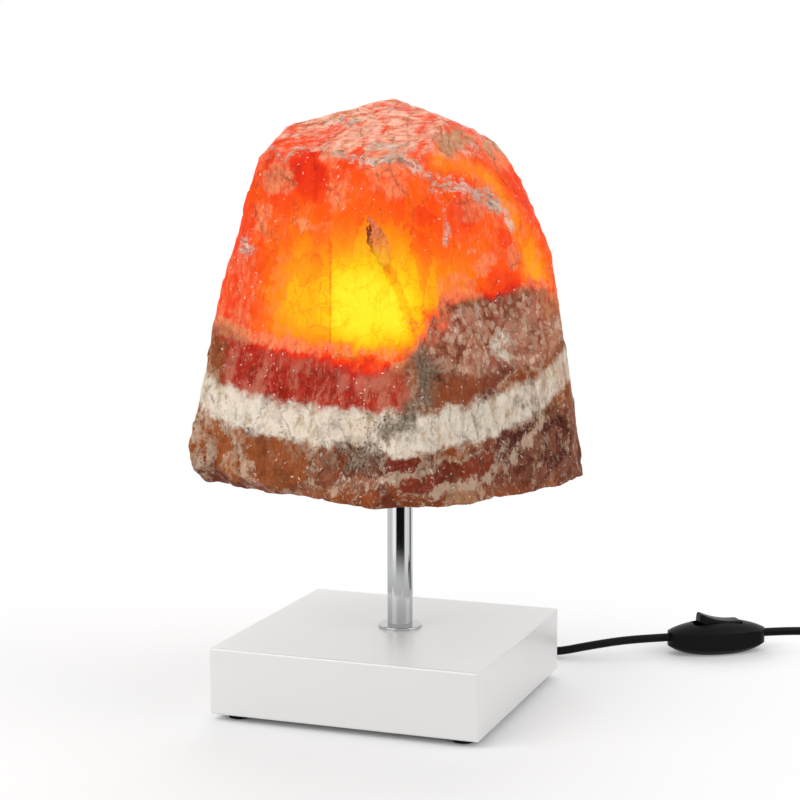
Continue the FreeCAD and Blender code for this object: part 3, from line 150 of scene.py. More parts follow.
class Value:
    """A socket in a node tree. Arithmetic on it adds Math nodes."""

    def __init__(self, nodes, socket):
        self.nodes = nodes
        self.socket = socket

    def maths(self, operation, left, right):
        return self.nodes.add("ShaderNodeMath", {0: left, 1: right}, operation=operation)

    def __add__(self, other):
        return self.maths("ADD", self, other)

    __radd__ = __add__

    def __sub__(self, other):
        return self.maths("SUBTRACT", self, other)

    def __rsub__(self, other):
        return self.maths("SUBTRACT", other, self)

    def __mul__(self, other):
        return self.maths("MULTIPLY", self, other)

    __rmul__ = __mul__

    def __rtruediv__(self, other):
        return self.maths("DIVIDE", other, self)

    def at_most(self, other):
        return self.maths("MINIMUM", self, other)

    def at_least(self, other):
        return self.maths("MAXIMUM", self, other)

    def other(self, output):
        """Another output of the node that this one comes from."""
        return Value(self.nodes, self.socket.node.outputs[output])


class Nodes:
    """A node tree, with the one way that nodes are added to it."""

    def __init__(self, tree):
        self.tree = tree

    def add(self, kind, sockets=None, output=0, **settings):
        made = self.tree.nodes.new(kind)
        for name, setting in settings.items():
            if name == "stops":
                self.fill_ramp(made.color_ramp, setting)
            else:
                setattr(made, name, setting)
        for key, value in (sockets or {}).items():
            if isinstance(value, Value):
                self.tree.links.new(value.socket, made.inputs[key])
            else:
                made.inputs[key].default_value = value
        return Value(self, made.outputs[output] if made.outputs else None)

    def fill_ramp(self, ramp, stops):
        while len(ramp.elements) < len(stops):
            ramp.elements.new(1)
        for element, (place, tone) in zip(ramp.elements, stops):
            element.position = place
            element.color = tone

    def vector(self, operation, *inputs):
        output = "Value" if operation in ("DISTANCE", "DOT_PRODUCT", "LENGTH") else 0
        return self.add("ShaderNodeVectorMath", dict(enumerate(inputs)), output, operation=operation)

    def scaled(self, vector, scale):
        return self.add("ShaderNodeVectorMath", {0: vector, "Scale": scale}, operation="SCALE")

    def parts(self, vector):
        first = self.add("ShaderNodeSeparateXYZ", {0: vector})
        return first, first.other(1), first.other(2)

    def rise(self, value, low, high):
        """Smooth step from 0 at low to 1 at high; high may be the smaller."""
        if high < low:
            return 1 - self.rise(value, high, low)
        sockets = {0: value, 1: low, 2: high, 3: 0.0, 4: 1.0}
        return self.add("ShaderNodeMapRange", sockets, interpolation_type="SMOOTHSTEP", clamp=True)

    def noise(self, where, size, detail=2.0, roughness=0.5, output=0):
        sockets = {"Vector": where, "Scale": 1 / size, "Detail": detail, "Roughness": roughness}
        return self.add("ShaderNodeTexNoise", sockets, output)

    def cells(self, where, size, feature="F1", output=0):
        return self.add("ShaderNodeTexVoronoi", {"Vector": where, "Scale": 1 / size}, output, feature=feature)


class Finish(Nodes):
    """A material made of expressions."""

    def __init__(self, name):
        self.material = bpy.data.materials.new(name)
        self.material.use_nodes = True
        super().__init__(self.material.node_tree)
        self.tree.nodes.clear()

    def place(self, turn=0.0, scale=(1000, 1000, 1000)):
        """Millimetres on the object, turned about the upright."""
        spot = self.add("ShaderNodeTexCoord", output="Object")
        return self.add("ShaderNodeMapping", {"Vector": spot, "Rotation": (0, 0, -turn), "Scale": scale})

    def mix(self, factor, first, second):
        return self.add("ShaderNodeMix", {0: factor, 6: first, 7: second}, 2, data_type="RGBA")

    def channel(self, tone):
        """Red of a colour; its other(1) is the green."""
        return self.add("ShaderNodeSeparateColor", {0: tone})

    def ramp(self, value, stops):
        return self.add("ShaderNodeValToRGB", {0: value}, stops=stops)

    def bump(self, height, strength, distance, normal=None):
        sockets = {"Height": height, "Strength": strength, "Distance": distance}
        if normal is not None:
            sockets["Normal"] = normal
        return self.add("ShaderNodeBump", sockets)

    def surface(self, sockets):
        return self.shown(self.add("ShaderNodeBsdfPrincipled", sockets))

    def shown(self, shader):
        """Ends the material with a shader."""
        self.add("ShaderNodeOutputMaterial", {"Surface": shader})
        return self.material


def node_object(name):
    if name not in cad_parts:
        raise RuntimeError(f"the frame has no node {name}")
    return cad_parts[name]


def dress(material, *names):
    """Gives CAD nodes their finish."""
    for name in names:
        slots = node_object(name).material_slots
        if not slots:
            node_object(name).data.materials.append(material)
        for slot in slots:
            slot.material = material


def new_object(name, data):
    made = bpy.data.objects.new(name, data)
    bpy.context.scene.collection.objects.link(made)
    return made


def add_piece(name, data, material, body):
    piece = new_object(name, data)
    data.materials.clear()
    data.materials.append(material)
    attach(piece, body)
    return piece


# The lead: the route's points in millimetres, the same as in the frame.
LEAD_POINTS = (
    (4, 75, 7), (4, 91, 7), (12, 105.4, 5.6), (26.8, 113.7, 4.2), (45, 113.4, 3.4), (63, 111.5, 3.2),
    (83, 119, 7.4), (100.5, 130.2, 9.4), (117.5, 140.07, 10), (134.46, 150.67, 10),
)
RUN_POINTS = (
    (167.54, 171.33, 10), (182.8, 180.87, 10), (199, 190.3, 9.6), (214, 197.3, 8.2), (228.3, 202.3, 6),
    (239.5, 205.325, 3.8), (251, 205.325, 3.8),
)
TAIL_POINTS = (
    (295.45, 159.5, 9.3), (295.45, 150.5, 9.3), (296.15, 139.5, 8), (297.65, 128.5, 6.85), (299.18, 117.61, 6.85),
)
INNER_POINTS = ((4, 74.9, 7), (4, 44, 7), (4, 22, 7), (4, 4, 7), (4, 4, 25), (4, 4, 70), (4, 4, 132))
COIL_CENTRE = (256, 164.5)
COIL_INNER_RADIUS = 20.2
COIL_PITCH = 5.5
COIL_TURNS_IN = 3.75
COIL_TURNS = 7.25
COIL_CLIMB_TURNS = 0.5
COIL_FLOOR = 3.8


def coil_point(turns):
    """A flat spiral inwards, a climb of half a turn, and a flat spiral outwards on top of it."""
    past = turns - COIL_TURNS_IN
    radius = COIL_INNER_RADIUS + COIL_PITCH * abs(past)
    angle = math.pi / 2 - 2 * math.pi * turns
    climb = min(max(past / COIL_CLIMB_TURNS + 0.5, 0), 1)
    height = COIL_FLOOR + COIL_PITCH * climb * climb * (3 - 2 * climb)
    return COIL_CENTRE[0] + radius * math.cos(angle), COIL_CENTRE[1] + radius * math.sin(angle), height


def add_lead(name, points, diameter, sheath):
    """One open smooth spline through the route, as thick as the lead."""
    curve = bpy.data.curves.new(name, "CURVE")
    curve.dimensions = "3D"
    spline = curve.splines.new("NURBS")
    spline.points.add(len(points) - 1)
    for point, spot in zip(spline.points, points):
        point.co = (*(Vector(spot) * MM), 1)
    spline.order_u = 3
    spline.use_endpoint_u = True
    curve.resolution_u = 5
    curve.bevel_depth = diameter / 2
    curve.bevel_resolution = 3
    curve.use_fill_caps = True
    return add_piece(name, curve, sheath, "lamp")


def black_plastic(name, tone, roughness, texture_size, texture_depth):
    """Moulded plastic: a fine spark texture, faint flow marks and a little dust."""
    finish = Finish(name)
    where = finish.place()
    flow = finish.noise(where, 18, 2)
    dust = finish.rise(finish.noise(where, 1.1, 4, 0.7), 0.66, 0.8)
    shade = finish.mix(flow, tone, shaded(tone, 1.5))
    shade = finish.mix(dust * 0.12, shade, srgb(84, 82, 80))
    spark = finish.noise(where, texture_size, 2, 0.6)
    return finish.surface({
        "Base Color": shade,
        "Roughness": roughness + 0.12 * flow + 0.15 * dust,
        "Specular IOR Level": 0.1,
        "Normal": finish.bump(spark, 0.35, texture_depth * MM),
    })


SWITCH_NODES = (
    "switch_lower_shell", "switch_upper_shell", "switch_pin", "contact_bridge", "switch_terminals", "switch_wires",
    "switch_screws",
)


class LAMP_OT_lead(bpy.types.Operator):
    """Mains lead: inside the lamp, from base to switch, and from switch through the tied coil to the plug"""

    bl_idname = "lamp.lead"
    bl_label = "Lead"

    def execute(self, context):
        settings = context.scene.lamp_lead
        sheath = black_plastic("lead sheath", settings.sheath, 0.36, 0.7, 0.04)
        switch = [node_object(name) for name in SWITCH_NODES] + [bpy.data.objects["rocker_skin"]]
        plug = [node_object(name) for name in ("plug_body", "plug_pins", "plug_pin_sleeves")]
        inner = add_lead("lead_inside", INNER_POINTS, settings.diameter, sheath)
        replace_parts(inner, "cord_inner")
        lead = add_lead("lead_to_switch", LEAD_POINTS, settings.diameter, sheath)
        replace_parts(lead, "cord_lead")
        steps = round(COIL_TURNS * settings.turn_points)
        coil = [coil_point(COIL_TURNS * step / steps) for step in range(steps + 1)]
        run = add_lead("lead_to_plug", [*RUN_POINTS, *coil, *TAIL_POINTS], settings.diameter, sheath)
        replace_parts(run, "cord_run", "cord_coil", "cord_tail")
        node_object("coil_tie")
        return {"FINISHED"}


def plated(name, tone, roughness, across, along, foot=None):
    """Plated metal with fine drawing lines and a few dull marks; a foot, in millimetres up, gets painted shade that
    darkens downwards.
    """
    finish = Finish(name)
    where = finish.place()
    lines = finish.noise(finish.place(scale=(across, across, along)), 1.0, 3, 0.6)
    marks = finish.rise(finish.noise(where, 9, 4, 0.6), 0.55, 0.75)
    shade = finish.mix(marks * 0.5 + lines * 0.25, tone, shaded(tone, 0.82))
    # Painted shade: the chrome gets darker down towards the foot.
    if foot:
        low = finish.rise(finish.parts(where)[2], foot[1], foot[0])
        shade = finish.mix(low * 0.62, shade, shaded(tone, 0.3))
    return finish.surface({
        "Base Color": shade,
        "Metallic": 1.0,
        "Roughness": roughness * (0.7 + 0.6 * lines) + 0.06 * marks,
    })


class LAMP_OT_switch(bpy.types.Operator):
    """In-line switch: black shells, rocker and the contacts inside"""

    bl_idname = "lamp.switch"
    bl_label = "Switch"

    def execute(self, context):
        tone = context.scene.lamp_lead.moulding
        dress(black_plastic("switch shell", tone, 0.3, 0.45, 0.04), "switch_lower_shell", "switch_upper_shell")
        rocker = remeshed_copy("switch_rocker", "rocker_round", 0.35 * MM)
        soft = rocker.modifiers.new("rounded edges", "SMOOTH")
        soft.factor = 0.5
        soft.iterations = 60
        finish = black_plastic("switch rocker", tone, 0.3, 0.6, 0.03)
        mesh = skin_mesh(rocker, "rocker_skin")
        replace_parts(add_piece("rocker_skin", mesh, finish, "rocker"), "switch_rocker")
        metal = context.scene.lamp_metal
        dress(plated("switch zinc", metal.zinc, 0.3, 2000, 2000), "switch_pin", "switch_screws")
        dress(plated("switch brass", metal.brass, 0.28, 900, 4000), "contact_bridge", "switch_terminals")
        dress(wire_sheath("switch wire sheath", SWITCH_ACROSS, SWITCH), "switch_wires")
        return {"FINISHED"}


def wire_sheath(name, across, middle):
    """Two insulated conductors: brown on one side of the middle, blue on the other."""
    finish = Finish(name)
    x, y, _ = finish.parts(finish.place())
    offset = middle[0] * across[0] + middle[1] * across[1]
    side = finish.rise(x * across[0] + y * across[1] - offset, -0.05, 0.05)
    shade = finish.mix(side, srgb(96, 58, 36), srgb(40, 74, 142))
    streak = finish.noise(finish.place(), 1.5, 2)
    return finish.surface({
        "Base Color": finish.mix(streak * 0.3, shade, srgb(20, 18, 18)), "Roughness": 0.4 + 0.15 * streak,
    })


class LAMP_OT_plug(bpy.types.Operator):
    """Flat two-pin plug and the tie that holds the coil"""

    bl_idname = "lamp.plug"
    bl_label = "Plug and Tie"

    def execute(self, context):
        tone = context.scene.lamp_lead.moulding
        dress(black_plastic("plug moulding", tone, 0.42, 0.5, 0.05), "plug_body")
        dress(black_plastic("pin sleeve", tone, 0.34, 0.8, 0.02), "plug_pin_sleeves")
        dress(black_plastic("coil tie strap", tone, 0.5, 0.9, 0.1), "coil_tie")
        dress(plated("plug pin nickel", context.scene.lamp_metal.nickel, 0.18, 700, 2500), "plug_pins")
        return {"FINISHED"}


class LAMP_OT_base(bpy.types.Operator):
    """Square base block in white lacquer, rubber feet and the lead's clamp"""

    bl_idname = "lamp.base"
    bl_label = "Base"

    def execute(self, context):
        settings = context.scene.lamp_base
        finish = Finish("base lacquer")
        where = finish.place()
        peel = finish.noise(where, settings.peel / MM, 2, 0.4)
        cloud = finish.noise(where, 60, 2)
        shade = finish.mix(cloud * 0.5, settings.lacquer, shaded(settings.lacquer, 0.965))
        lacquer = finish.surface({
            "Base Color": shade,
            "Roughness": 0.28 + 0.1 * cloud,
            "Specular IOR Level": 1.0,
            "Coat Weight": 0.8,
            "Coat Roughness": 0.3,
            "Normal": finish.bump(peel, 0.12, 0.05 * MM),
        })
        dress(lacquer, "base_block")
        rubber = black_plastic("foot rubber", settings.rubber, 0.7, 0.9, 0.12)
        dress(rubber, "foot_front_left", "foot_front_right", "foot_back_left", "foot_back_right")
        dress(black_plastic("clamp moulding", context.scene.lamp_lead.moulding, 0.45, 0.6, 0.05), "cord_clamp")
        dress(plated("clamp screw zinc", context.scene.lamp_metal.zinc, 0.3, 2000, 2000), "cord_clamp_screws")
        return {"FINISHED"}


class LAMP_OT_stem(bpy.types.Operator):
    """Chrome stem and flange, the threaded pipe and nuts, and the seat under the stone"""

    bl_idname = "lamp.stem"
    bl_label = "Stem"

    def execute(self, context):
        metal = context.scene.lamp_metal
        # The stem chrome gets painted shade from 78 mm down to 44 mm.
        dress(plated("stem chrome", metal.chrome, 0.06, 1400, 40, (44, 78)), "stem_tube", "flange")
        zinc = plated("fastener zinc", metal.zinc, 0.3, 1500, 1500)
        dress(zinc, "threaded_pipe", "base_washer", "base_nut", "seat_plate", "plate_nut")
        felt = Finish("seat felt")
        where = felt.place()
        hair = felt.noise(where, 0.5, 4, 0.7)
        tuft = felt.noise(where, 4, 3)
        dress(felt.surface({
            "Base Color": felt.mix(hair * 0.6 + tuft * 0.4, srgb(34, 32, 31), srgb(92, 86, 82)),
            "Roughness": 0.85 + 0.1 * tuft,
            "Normal": felt.bump(hair, 0.8, 0.3 * MM),
        }), "seat_pad")
        return {"FINISHED"}


class LAMP_OT_holder(bpy.types.Operator):
    """Lampholder on top of the stem"""

    bl_idname = "lamp.holder"
    bl_label = "Lampholder"

    def execute(self, context):
        metal = context.scene.lamp_metal
        tone = context.scene.lamp_lead.moulding
        dress(black_plastic("holder plastic", tone, 0.35, 0.7, 0.04), "holder_cap", "holder_barrel")
        dress(plated("holder zinc", metal.zinc, 0.3, 1500, 1500), "holder_grub_screw")
        ceramic = Finish("holder ceramic")
        where = ceramic.place()
        pits = ceramic.rise(ceramic.noise(where, 0.8, 3, 0.6), 0.62, 0.75)
        cloud = ceramic.noise(where, 8, 2)
        dress(ceramic.surface({
            "Base Color": ceramic.mix(pits * 0.5 + cloud * 0.3, srgb(232, 228, 218), srgb(190, 182, 168)),
            "Roughness": 0.35 + 0.3 * pits,
        }), "holder_insert")
        brass = plated("holder brass", metal.brass, 0.26, 900, 3000)
        dress(brass, "holder_screw_shell", "holder_centre_contact")
        dress(wire_sheath("holder wire sheath", (1, 0), STEM), "holder_wires")
        return {"FINISHED"}


class LAMP_OT_bulb(bpy.types.Operator):
    """Candle bulb: clear glass, screw cap, glass stem and lit filament"""

    bl_idname = "lamp.bulb"
    bl_label = "Bulb"

    def execute(self, context):
        metal = context.scene.lamp_metal
        for name, node, tint in (
            ("bulb glass", "bulb_glass", srgb(255, 246, 226)), ("bulb stem glass", "bulb_stem", srgb(236, 236, 228)),
        ):
            glass = Finish(name)
            smear = glass.noise(glass.place(), 14, 3)
            dress(glass.surface({
                "Base Color": glass.mix(smear * 0.3, tint, srgb(255, 236, 200)),
                "Roughness": 0.02 + 0.05 * smear, "IOR": 1.45, "Transmission Weight": 1.0,
            }), node)
        dress(plated("bulb cap nickel", metal.nickel, 0.24, 700, 4000), "bulb_cap")
        dress(plated("bulb lead wire", metal.zinc, 0.25, 2500, 2500), "bulb_leads")
        dress(plated("bulb contact tin", metal.zinc, 0.4, 2500, 2500), "bulb_contact")
        dress(black_plastic("bulb insulator glass", srgb(24, 20, 34), 0.15, 1.2, 0.02), "bulb_insulator")
        hot = Finish("filament")
        pulse = hot.noise(hot.place(), 1.2, 2)
        dress(hot.surface({
            "Base Color": srgb(90, 80, 70), "Metallic": 1.0,
            "Emission Color": hot.mix(pulse, srgb(255, 186, 96), srgb(255, 232, 186)), "Emission Strength": 6.0,
        }), "bulb_filament")
        return {"FINISHED"}


RELIEF = ("Flake Size", "Flake Depth", "Chip Size", "Chip Depth", "Grain Size", "Grain Depth")
# Where the relief fades out, in metres: round the bore and over its top, above the seat and outside it.
BORE_EDGE, BORE_TOP = (0.0295, 0.034), (0.281, 0.286)
SEAT_LEVEL, SEAT_EDGE = (0.1225, 0.128), (0.044, 0.052)
# How far a point stands out to count as a fully bruised edge; sunk as far, it takes the full painted shade.
PROUD_EDGE = 0.0006


def stone_tree():
    """Breaks the stone's flat faces: tilted flakes and chips, and crystal grain, but not in the bore or on the seat."""
    tree = bpy.data.node_groups.new("broken stone", "GeometryNodeTree")
    kinds = {"Geometry": "Geometry", **dict.fromkeys(RELIEF, "Float"), "Seed": "Int", "Material": "Material"}
    for name, kind in kinds.items():
        tree.interface.new_socket(name, in_out="INPUT", socket_type="NodeSocket" + kind)
    tree.interface.new_socket("Geometry", in_out="OUTPUT", socket_type="NodeSocketGeometry")
    nodes = Nodes(tree)
    given = nodes.add("NodeGroupInput")
    spot = nodes.add("GeometryNodeInputPosition")
    normal = nodes.add("GeometryNodeInputNormal")
    seeded = nodes.vector("MULTIPLY_ADD", (0.137, 0.073, 0.031), given.other("Seed"), spot)
    depth = None
    for size, reach in (("Flake Size", "Flake Depth"), ("Chip Size", "Chip Depth")):
        scale = 1 / given.other(size)
        cell = nodes.add("ShaderNodeTexVoronoi", {"Vector": seeded, "Scale": scale}, "Color")
        lean = nodes.vector("SUBTRACT", cell, (0.5, 0.5, 0.5))
        away = nodes.scaled(nodes.vector("SUBTRACT", seeded, cell.other("Position")), scale)
        tilt = nodes.vector("DOT_PRODUCT", lean, away)
        step = tilt * 2.4 * given.other(reach)
        depth = step if depth is None else depth + step
    scale = 1 / given.other("Grain Size")
    grain = nodes.add("ShaderNodeTexNoise", {"Vector": seeded, "Scale": scale, "Detail": 3.0, "Roughness": 0.6})
    depth = depth + (grain - 0.5) * 2 * given.other("Grain Depth")
    depth = nodes.add("GeometryNodeBlurAttribute", {0: depth, "Iterations": 1}, data_type="FLOAT")
    z = nodes.parts(spot)[2]
    level = nodes.vector("MULTIPLY_ADD", spot, (1, 1, 0), (-STEM[0] * MM, -STEM[1] * MM, 0))
    from_stem = nodes.vector("LENGTH", level)
    off_bore = nodes.rise(from_stem, *BORE_EDGE).at_least(nodes.rise(z, *BORE_TOP))
    off_seat = nodes.rise(z, *SEAT_LEVEL).at_least(nodes.rise(from_stem, *SEAT_EDGE))
    move = nodes.scaled(normal, depth * off_bore * off_seat)
    moved = nodes.add("GeometryNodeSetPosition", {"Geometry": given.other("Geometry"), "Offset": move})
    # How far each point stands out from its blurred surroundings, kept as the edge attribute: the stone's material
    # whitens proud edges, partly as a painted highlight, and paints shade into sunk places.
    smooth = nodes.add("GeometryNodeBlurAttribute", {"Value": spot, "Iterations": 5}, data_type="FLOAT_VECTOR")
    proud = nodes.vector("DOT_PRODUCT", nodes.vector("SUBTRACT", spot, smooth), normal) * (1 / PROUD_EDGE)
    sockets = {"Geometry": moved, "Name": "edge", "Value": proud}
    marked = nodes.add("GeometryNodeStoreNamedAttribute", sockets, data_type="FLOAT", domain="POINT")
    real = nodes.add("GeometryNodeRealizeInstances", {"Geometry": marked})
    done = nodes.add("GeometryNodeSetMaterial", {"Geometry": real, "Material": given.other("Material")})
    nodes.add("NodeGroupOutput", {"Geometry": done})
    return tree


def remeshed_copy(node, name, cell):
    """A CAD node's mesh as one joined skin of even cells, for more modifiers; the node itself is left alone."""
    mesh = node_object(node).data.copy()
    mesh.name = name
    skin = bmesh.new()
    skin.from_mesh(mesh)
    bmesh.ops.remove_doubles(skin, verts=skin.verts, dist=1e-5)
    skin.to_mesh(mesh)
    skin.free()
    copy = new_object(name, mesh)
    remesh = copy.modifiers.new("even skin", "REMESH")
    remesh.mode = "VOXEL"
    remesh.voxel_size = cell
    return copy


def skin_mesh(piece, name):
    """Turns a piece and its modifiers into a plain, smooth mesh and removes the piece."""
    graph = bpy.context.evaluated_depsgraph_get()
    mesh = bpy.data.meshes.new_from_object(piece.evaluated_get(graph), depsgraph=graph)
    piece.modifiers.clear()
    bpy.data.objects.remove(piece)
    mesh.name = name
    mesh.polygons.foreach_set("use_smooth", np.ones(len(mesh.polygons), dtype=bool))
    return mesh


# Marks of the stone, in millimetres seen from the front: to the right, away from the front, and up.
RIDGE = (
    (-66, -6, 300), (-57, -13, 298), (-48, -16, 301), (-38, -20, 303), (-29, -31, 299), (-10, -49, 295), (5, -58, 296),
    (15, -61, 291), (24, -54, 283), (41, -37, 281), (51, -29, 276), (62, -19, 268), (64, -19, 260),
)
THICK_RIDGE = RIDGE[5:12]
CREST = ((-16, -45, 295), (-9, -38, 303), (3, -44, 303), (10, -50, 302))
STRIP = ((26, -49, 297), (41, -32, 293), (55, -18, 284), (65, -15, 270), (73, -11, 251), (78, -11, 234))
LEAF_TAIL = ((-1, -69, 242), (5, -77, 229), (10, -80, 216))
GREY_VEIN = ((22, -57, 281), (27, -55, 271), (30, -54, 261), (28, -58, 253))
SMEAR = ((14, -82, 203), (19, -80, 190), (16, -82, 178), (8, -86, 167), (-2, -88, 161))
CREAM_LINES = (
    ((-88, -26, 158), (-80, -31, 147), (-76, -36, 136), (-74, -38, 127)),
    ((-41, -62, 152), (-39, -65, 141), (-40, -66, 131)),
    ((-30, -74, 129.5), (-20, -81, 133), (-9, -89, 135), (4, -94, 140), (20, -92, 143)),
    ((20, -92, 130), (51, -64, 133), (57, -57, 138), (65, -47, 143), (82, -25, 160)),
)

# Light through the stone: centre, radii, softness of the edge, strength.
GLOW = (
    ((-6, -74, 212), (21, 60, 10), 0.6, 0.1),
    ((-10, -76, 190), (22, 40, 13), 0.5, 0.1),
    ((-46, -40, 226), (22, 60, 24), 0.7, 0.06),
    ((7, -74, 222), (9, 50, 14), 0.5, 0.09),
    ((-92, -10, 230), (20, 40, 40), 0.6, -0.12),
    ((-58, -14, 288), (11, 30, 11), 0.4, -0.07),
    ((44, -22, 297), (24, 40, 12), 0.6, 0.04),
    ((-42, -27, 289), (9, 30, 14), 0.25, -0.1),
    ((57, -34, 230), (13, 30, 9), 0.3, -0.06),
    ((28, -56, 262), (20, 40, 18), 0.5, -0.07),
    ((2, 62, 236), (50, 50, 50), 0.6, 0.12),
    ((2, 66, 226), (26, 50, 28), 0.5, 0.2),
    ((-78, 22, 224), (30, 26, 32), 0.6, 0.14),
    ((84, 6, 220), (26, 26, 28), 0.6, 0.08),
)
BULB = (-16, -70, 227)
BULB_REACH = (1 / 40, 0.5 / 34, 1 / 29)

# Single marks: the upright split, the leaf, the speckled patch, the white band and where the top begins.
SPLIT_U = -30.7
LEAF_U, LEAF_Z = -5.5, 253
SPECKLED = (-18, -79, 147)
BAND_Z = 160.5
TOP_Z = (292, 304)
BLACK = (0, 0, 0, 1)

# Bruised crystal: centre, radii, more of it or less.
FROST = (
    ((-12, -60, 234), (46, 60, 40), -0.18), ((-42, -27, 289), (9, 30, 14), -0.35), ((57, -34, 230), (13, 30, 9), -0.35),
    ((16, -62, 264), (16, 40, 13), -0.16), ((-57, -14, 288), (10, 30, 10), 0.22), ((-68, -12, 266), (5, 24, 12), 0.2),
    ((-26, -38, 280), (5, 30, 16), 0.16), ((-1, -58, 287), (12, 30, 12), 0.18), ((50, -36, 262), (20, 30, 24), 0.08),
    ((47, -34, 275), (12, 30, 9), 0.16), ((-86, -10, 228), (20, 30, 30), 0.11), ((-38, -40, 260), (14, 30, 2.5), 0.22),
    ((42, -48, 251), (4, 20, 1.5), 0.3), ((51, -37, 242), (7, 30, 5), 0.26), ((65, -22, 243), (4, 24, 7), 0.26),
    ((37, -54, 229), (14, 40, 10), 0.24), ((-6, -78, 187), (18, 40, 12), 0.1), ((2, 64, 228), (34, 50, 34), -0.15),
    ((-48, -18, 306), (22, 30, 10), -0.07),
)

# Patches of other crystal under the light: centre, radii, colour.
PATCHES = (
    ((-95, -22, 147), (9, 30, 8), (166, 88, 40)), ((-62, -48, 140), (24, 40, 14), (156, 82, 40)),
    ((-33, -71, 139), (8, 40, 11), (138, 70, 42)),
    ((33, -71, 182), (22, 40, 9), (150, 72, 38)), ((54, -47, 190), (9, 40, 10), (142, 66, 38)),
    ((79, -19, 198), (7, 30, 9), (150, 66, 42)),
    ((5, -94, 146), (9, 40, 4), (124, 38, 22)), ((15, -96, 135), (11, 40, 6), (134, 46, 26)),
    ((29, -86, 139), (8, 40, 6), (118, 40, 22)), ((44, -72, 139), (11, 40, 7), (138, 54, 28)),
)


class StoneFinish(Finish):
    """Stone material: fields on the front view's millimetres, made ragged by noise."""

    def __init__(self, name):
        super().__init__(name)
        self.front = self.place(FRONT_TURN)
        wide = self.vector("SUBTRACT", self.noise(self.front, 26, 2, 0.55, 1), (0.5, 0.5, 0.5))
        fine = self.vector("SUBTRACT", self.noise(self.front, 5, 4, 0.65, 1), (0.5, 0.5, 0.5))
        loose = self.vector("MULTIPLY_ADD", wide, (18, 18, 18), self.front)
        self.ragged = self.vector("MULTIPLY_ADD", fine, (10, 10, 10), loose)
        self.crisp = self.vector("MULTIPLY_ADD", fine, (7, 7, 7), self.front)
        self.flat = self.vector("MULTIPLY", self.crisp, (1, 0.4, 1))
        self.grit = self.noise(self.front, 2.2, 5, 0.72)
        self.streaks = self.drawn(170, 3.5, 4, 0.62)
        self.mottle = self.noise(self.front, 15, 4, 0.62)
        self.dust = self.drawn(650, 7, 5, 0.68)
        plates = self.cells(self.vector("MULTIPLY", self.ragged, (1, 1, 0.6)), 13, output="Color")
        self.plate = self.channel(plates)
        self.edge = self.add("ShaderNodeAttribute", output="Fac", attribute_name="edge")
        u, d, z = self.parts(self.crisp)
        self.top = self.rise(z, *TOP_Z)
        upright = self.drawn(480, 2.4, 6, 0.7)
        strata = self.noise(self.place(FRONT_TURN, (300, 520, 1000)), 2.4, 6, 0.7)
        self.fibre = upright + (strata - upright) * self.top
        bend = (u + 12) * (1 / 72)
        bend = bend * bend
        ripple = (self.noise(self.front, 10, 5, 0.7) - 0.5) * 16
        self.layer = z - bend * bend * 5 - BAND_Z + ripple
        right, _, high = self.parts(self.ragged)
        slope = self.frayed(right * 0.82 - high * 0.57, 26, 14)
        low = self.rise(high + (self.dust - 0.5) * 18, 233, 219)
        self.dull = self.rise(slope, -112, -97) * self.rise(d, 10, -20) * low

    def drawn(self, up, *noise):
        """Noise drawn out upwards."""
        return self.noise(self.place(FRONT_TURN, (1000, 1000, up)), *noise)

    def spot(self, centre, radii, soft=0.35, where=None):
        """1 inside an ellipsoid, 0 outside it."""
        away = self.vector("DIVIDE", self.vector("SUBTRACT", where or self.ragged, centre), radii)
        return self.rise(self.vector("LENGTH", away), 1 + soft, 1 - soft)

    def near_line(self, points):
        """Distance to a broken line, with less weight on the depth."""
        nearest = None
        flat = [Vector((u, 0.4 * d, z)) for u, d, z in points]
        for start, end in zip(flat, flat[1:]):
            run = end - start
            away = self.vector("SUBTRACT", self.flat, tuple(start))
            along = self.vector("DOT_PRODUCT", away, tuple(run / run.length_squared))
            along = along.at_least(0.0).at_most(1.0)
            gap = self.vector("LENGTH", self.vector("SUBTRACT", away, self.scaled(tuple(run), along)))
            nearest = gap if nearest is None else nearest.at_most(gap)
        return nearest

    def frayed(self, distance, dust, grit):
        """A distance that wanders, by so many millimetres of dust and of grit."""
        return distance + (self.dust - 0.5) * dust + (self.grit - 0.5) * grit

    def facets(self, *sizes):
        """Broken faces: every cell of crystal leans its own way."""
        normal = self.add("ShaderNodeNewGeometry", output="Normal")
        for size, lean in sizes:
            tilt = self.vector("SUBTRACT", self.cells(self.crisp, size, output="Color"), (0.5, 0.5, 0.5))
            normal = self.vector("MULTIPLY_ADD", tilt, (lean, lean, lean), normal)
        return self.vector("NORMALIZE", normal)

    def glow(self):
        """Light that comes through, from nothing to 1 in front of the bulb."""
        rise = self.rise
        u = self.parts(self.crisp)[0]
        reach = self.vector("MULTIPLY", self.vector("SUBTRACT", self.crisp, BULB), BULB_REACH)
        reach = self.vector("DOT_PRODUCT", reach, reach)
        glow = 0.35 + 0.63 / (1 + reach) + (self.mottle - 0.5) * 0.08 + (self.streaks - 0.5) * 0.1
        glow = glow + (self.plate - 0.5) * 0.09 + (self.grit - 0.5) * 0.1
        glow = glow * rise(self.layer, 22, 46) * (1 - 0.88 * self.dull)
        for centre, radii, soft, strength in GLOW:
            glow = glow + self.spot(centre, radii, soft, self.crisp) * strength
        glow = glow + rise(self.near_line(STRIP), 10, 2) * 0.17
        beside_crack = rise(u, -30.2, -31.2) * self.spot((-34, -45, 226), (9, 60, 40), 0.5, self.front)
        split = self.parts(self.front)[0] - SPLIT_U
        split = rise(split.maths("ABSOLUTE", split, 0.0), 0.8, 0.2) * self.spot((-30, -50, 222), (6, 60, 26), 0.3)
        seams = rise(self.cells(self.ragged, 13, "DISTANCE_TO_EDGE"), 0.05, 0.0)
        return glow - beside_crack * 0.07 - split * 0.12 - seams * rise(glow, 0.6, 0.8) * 0.08

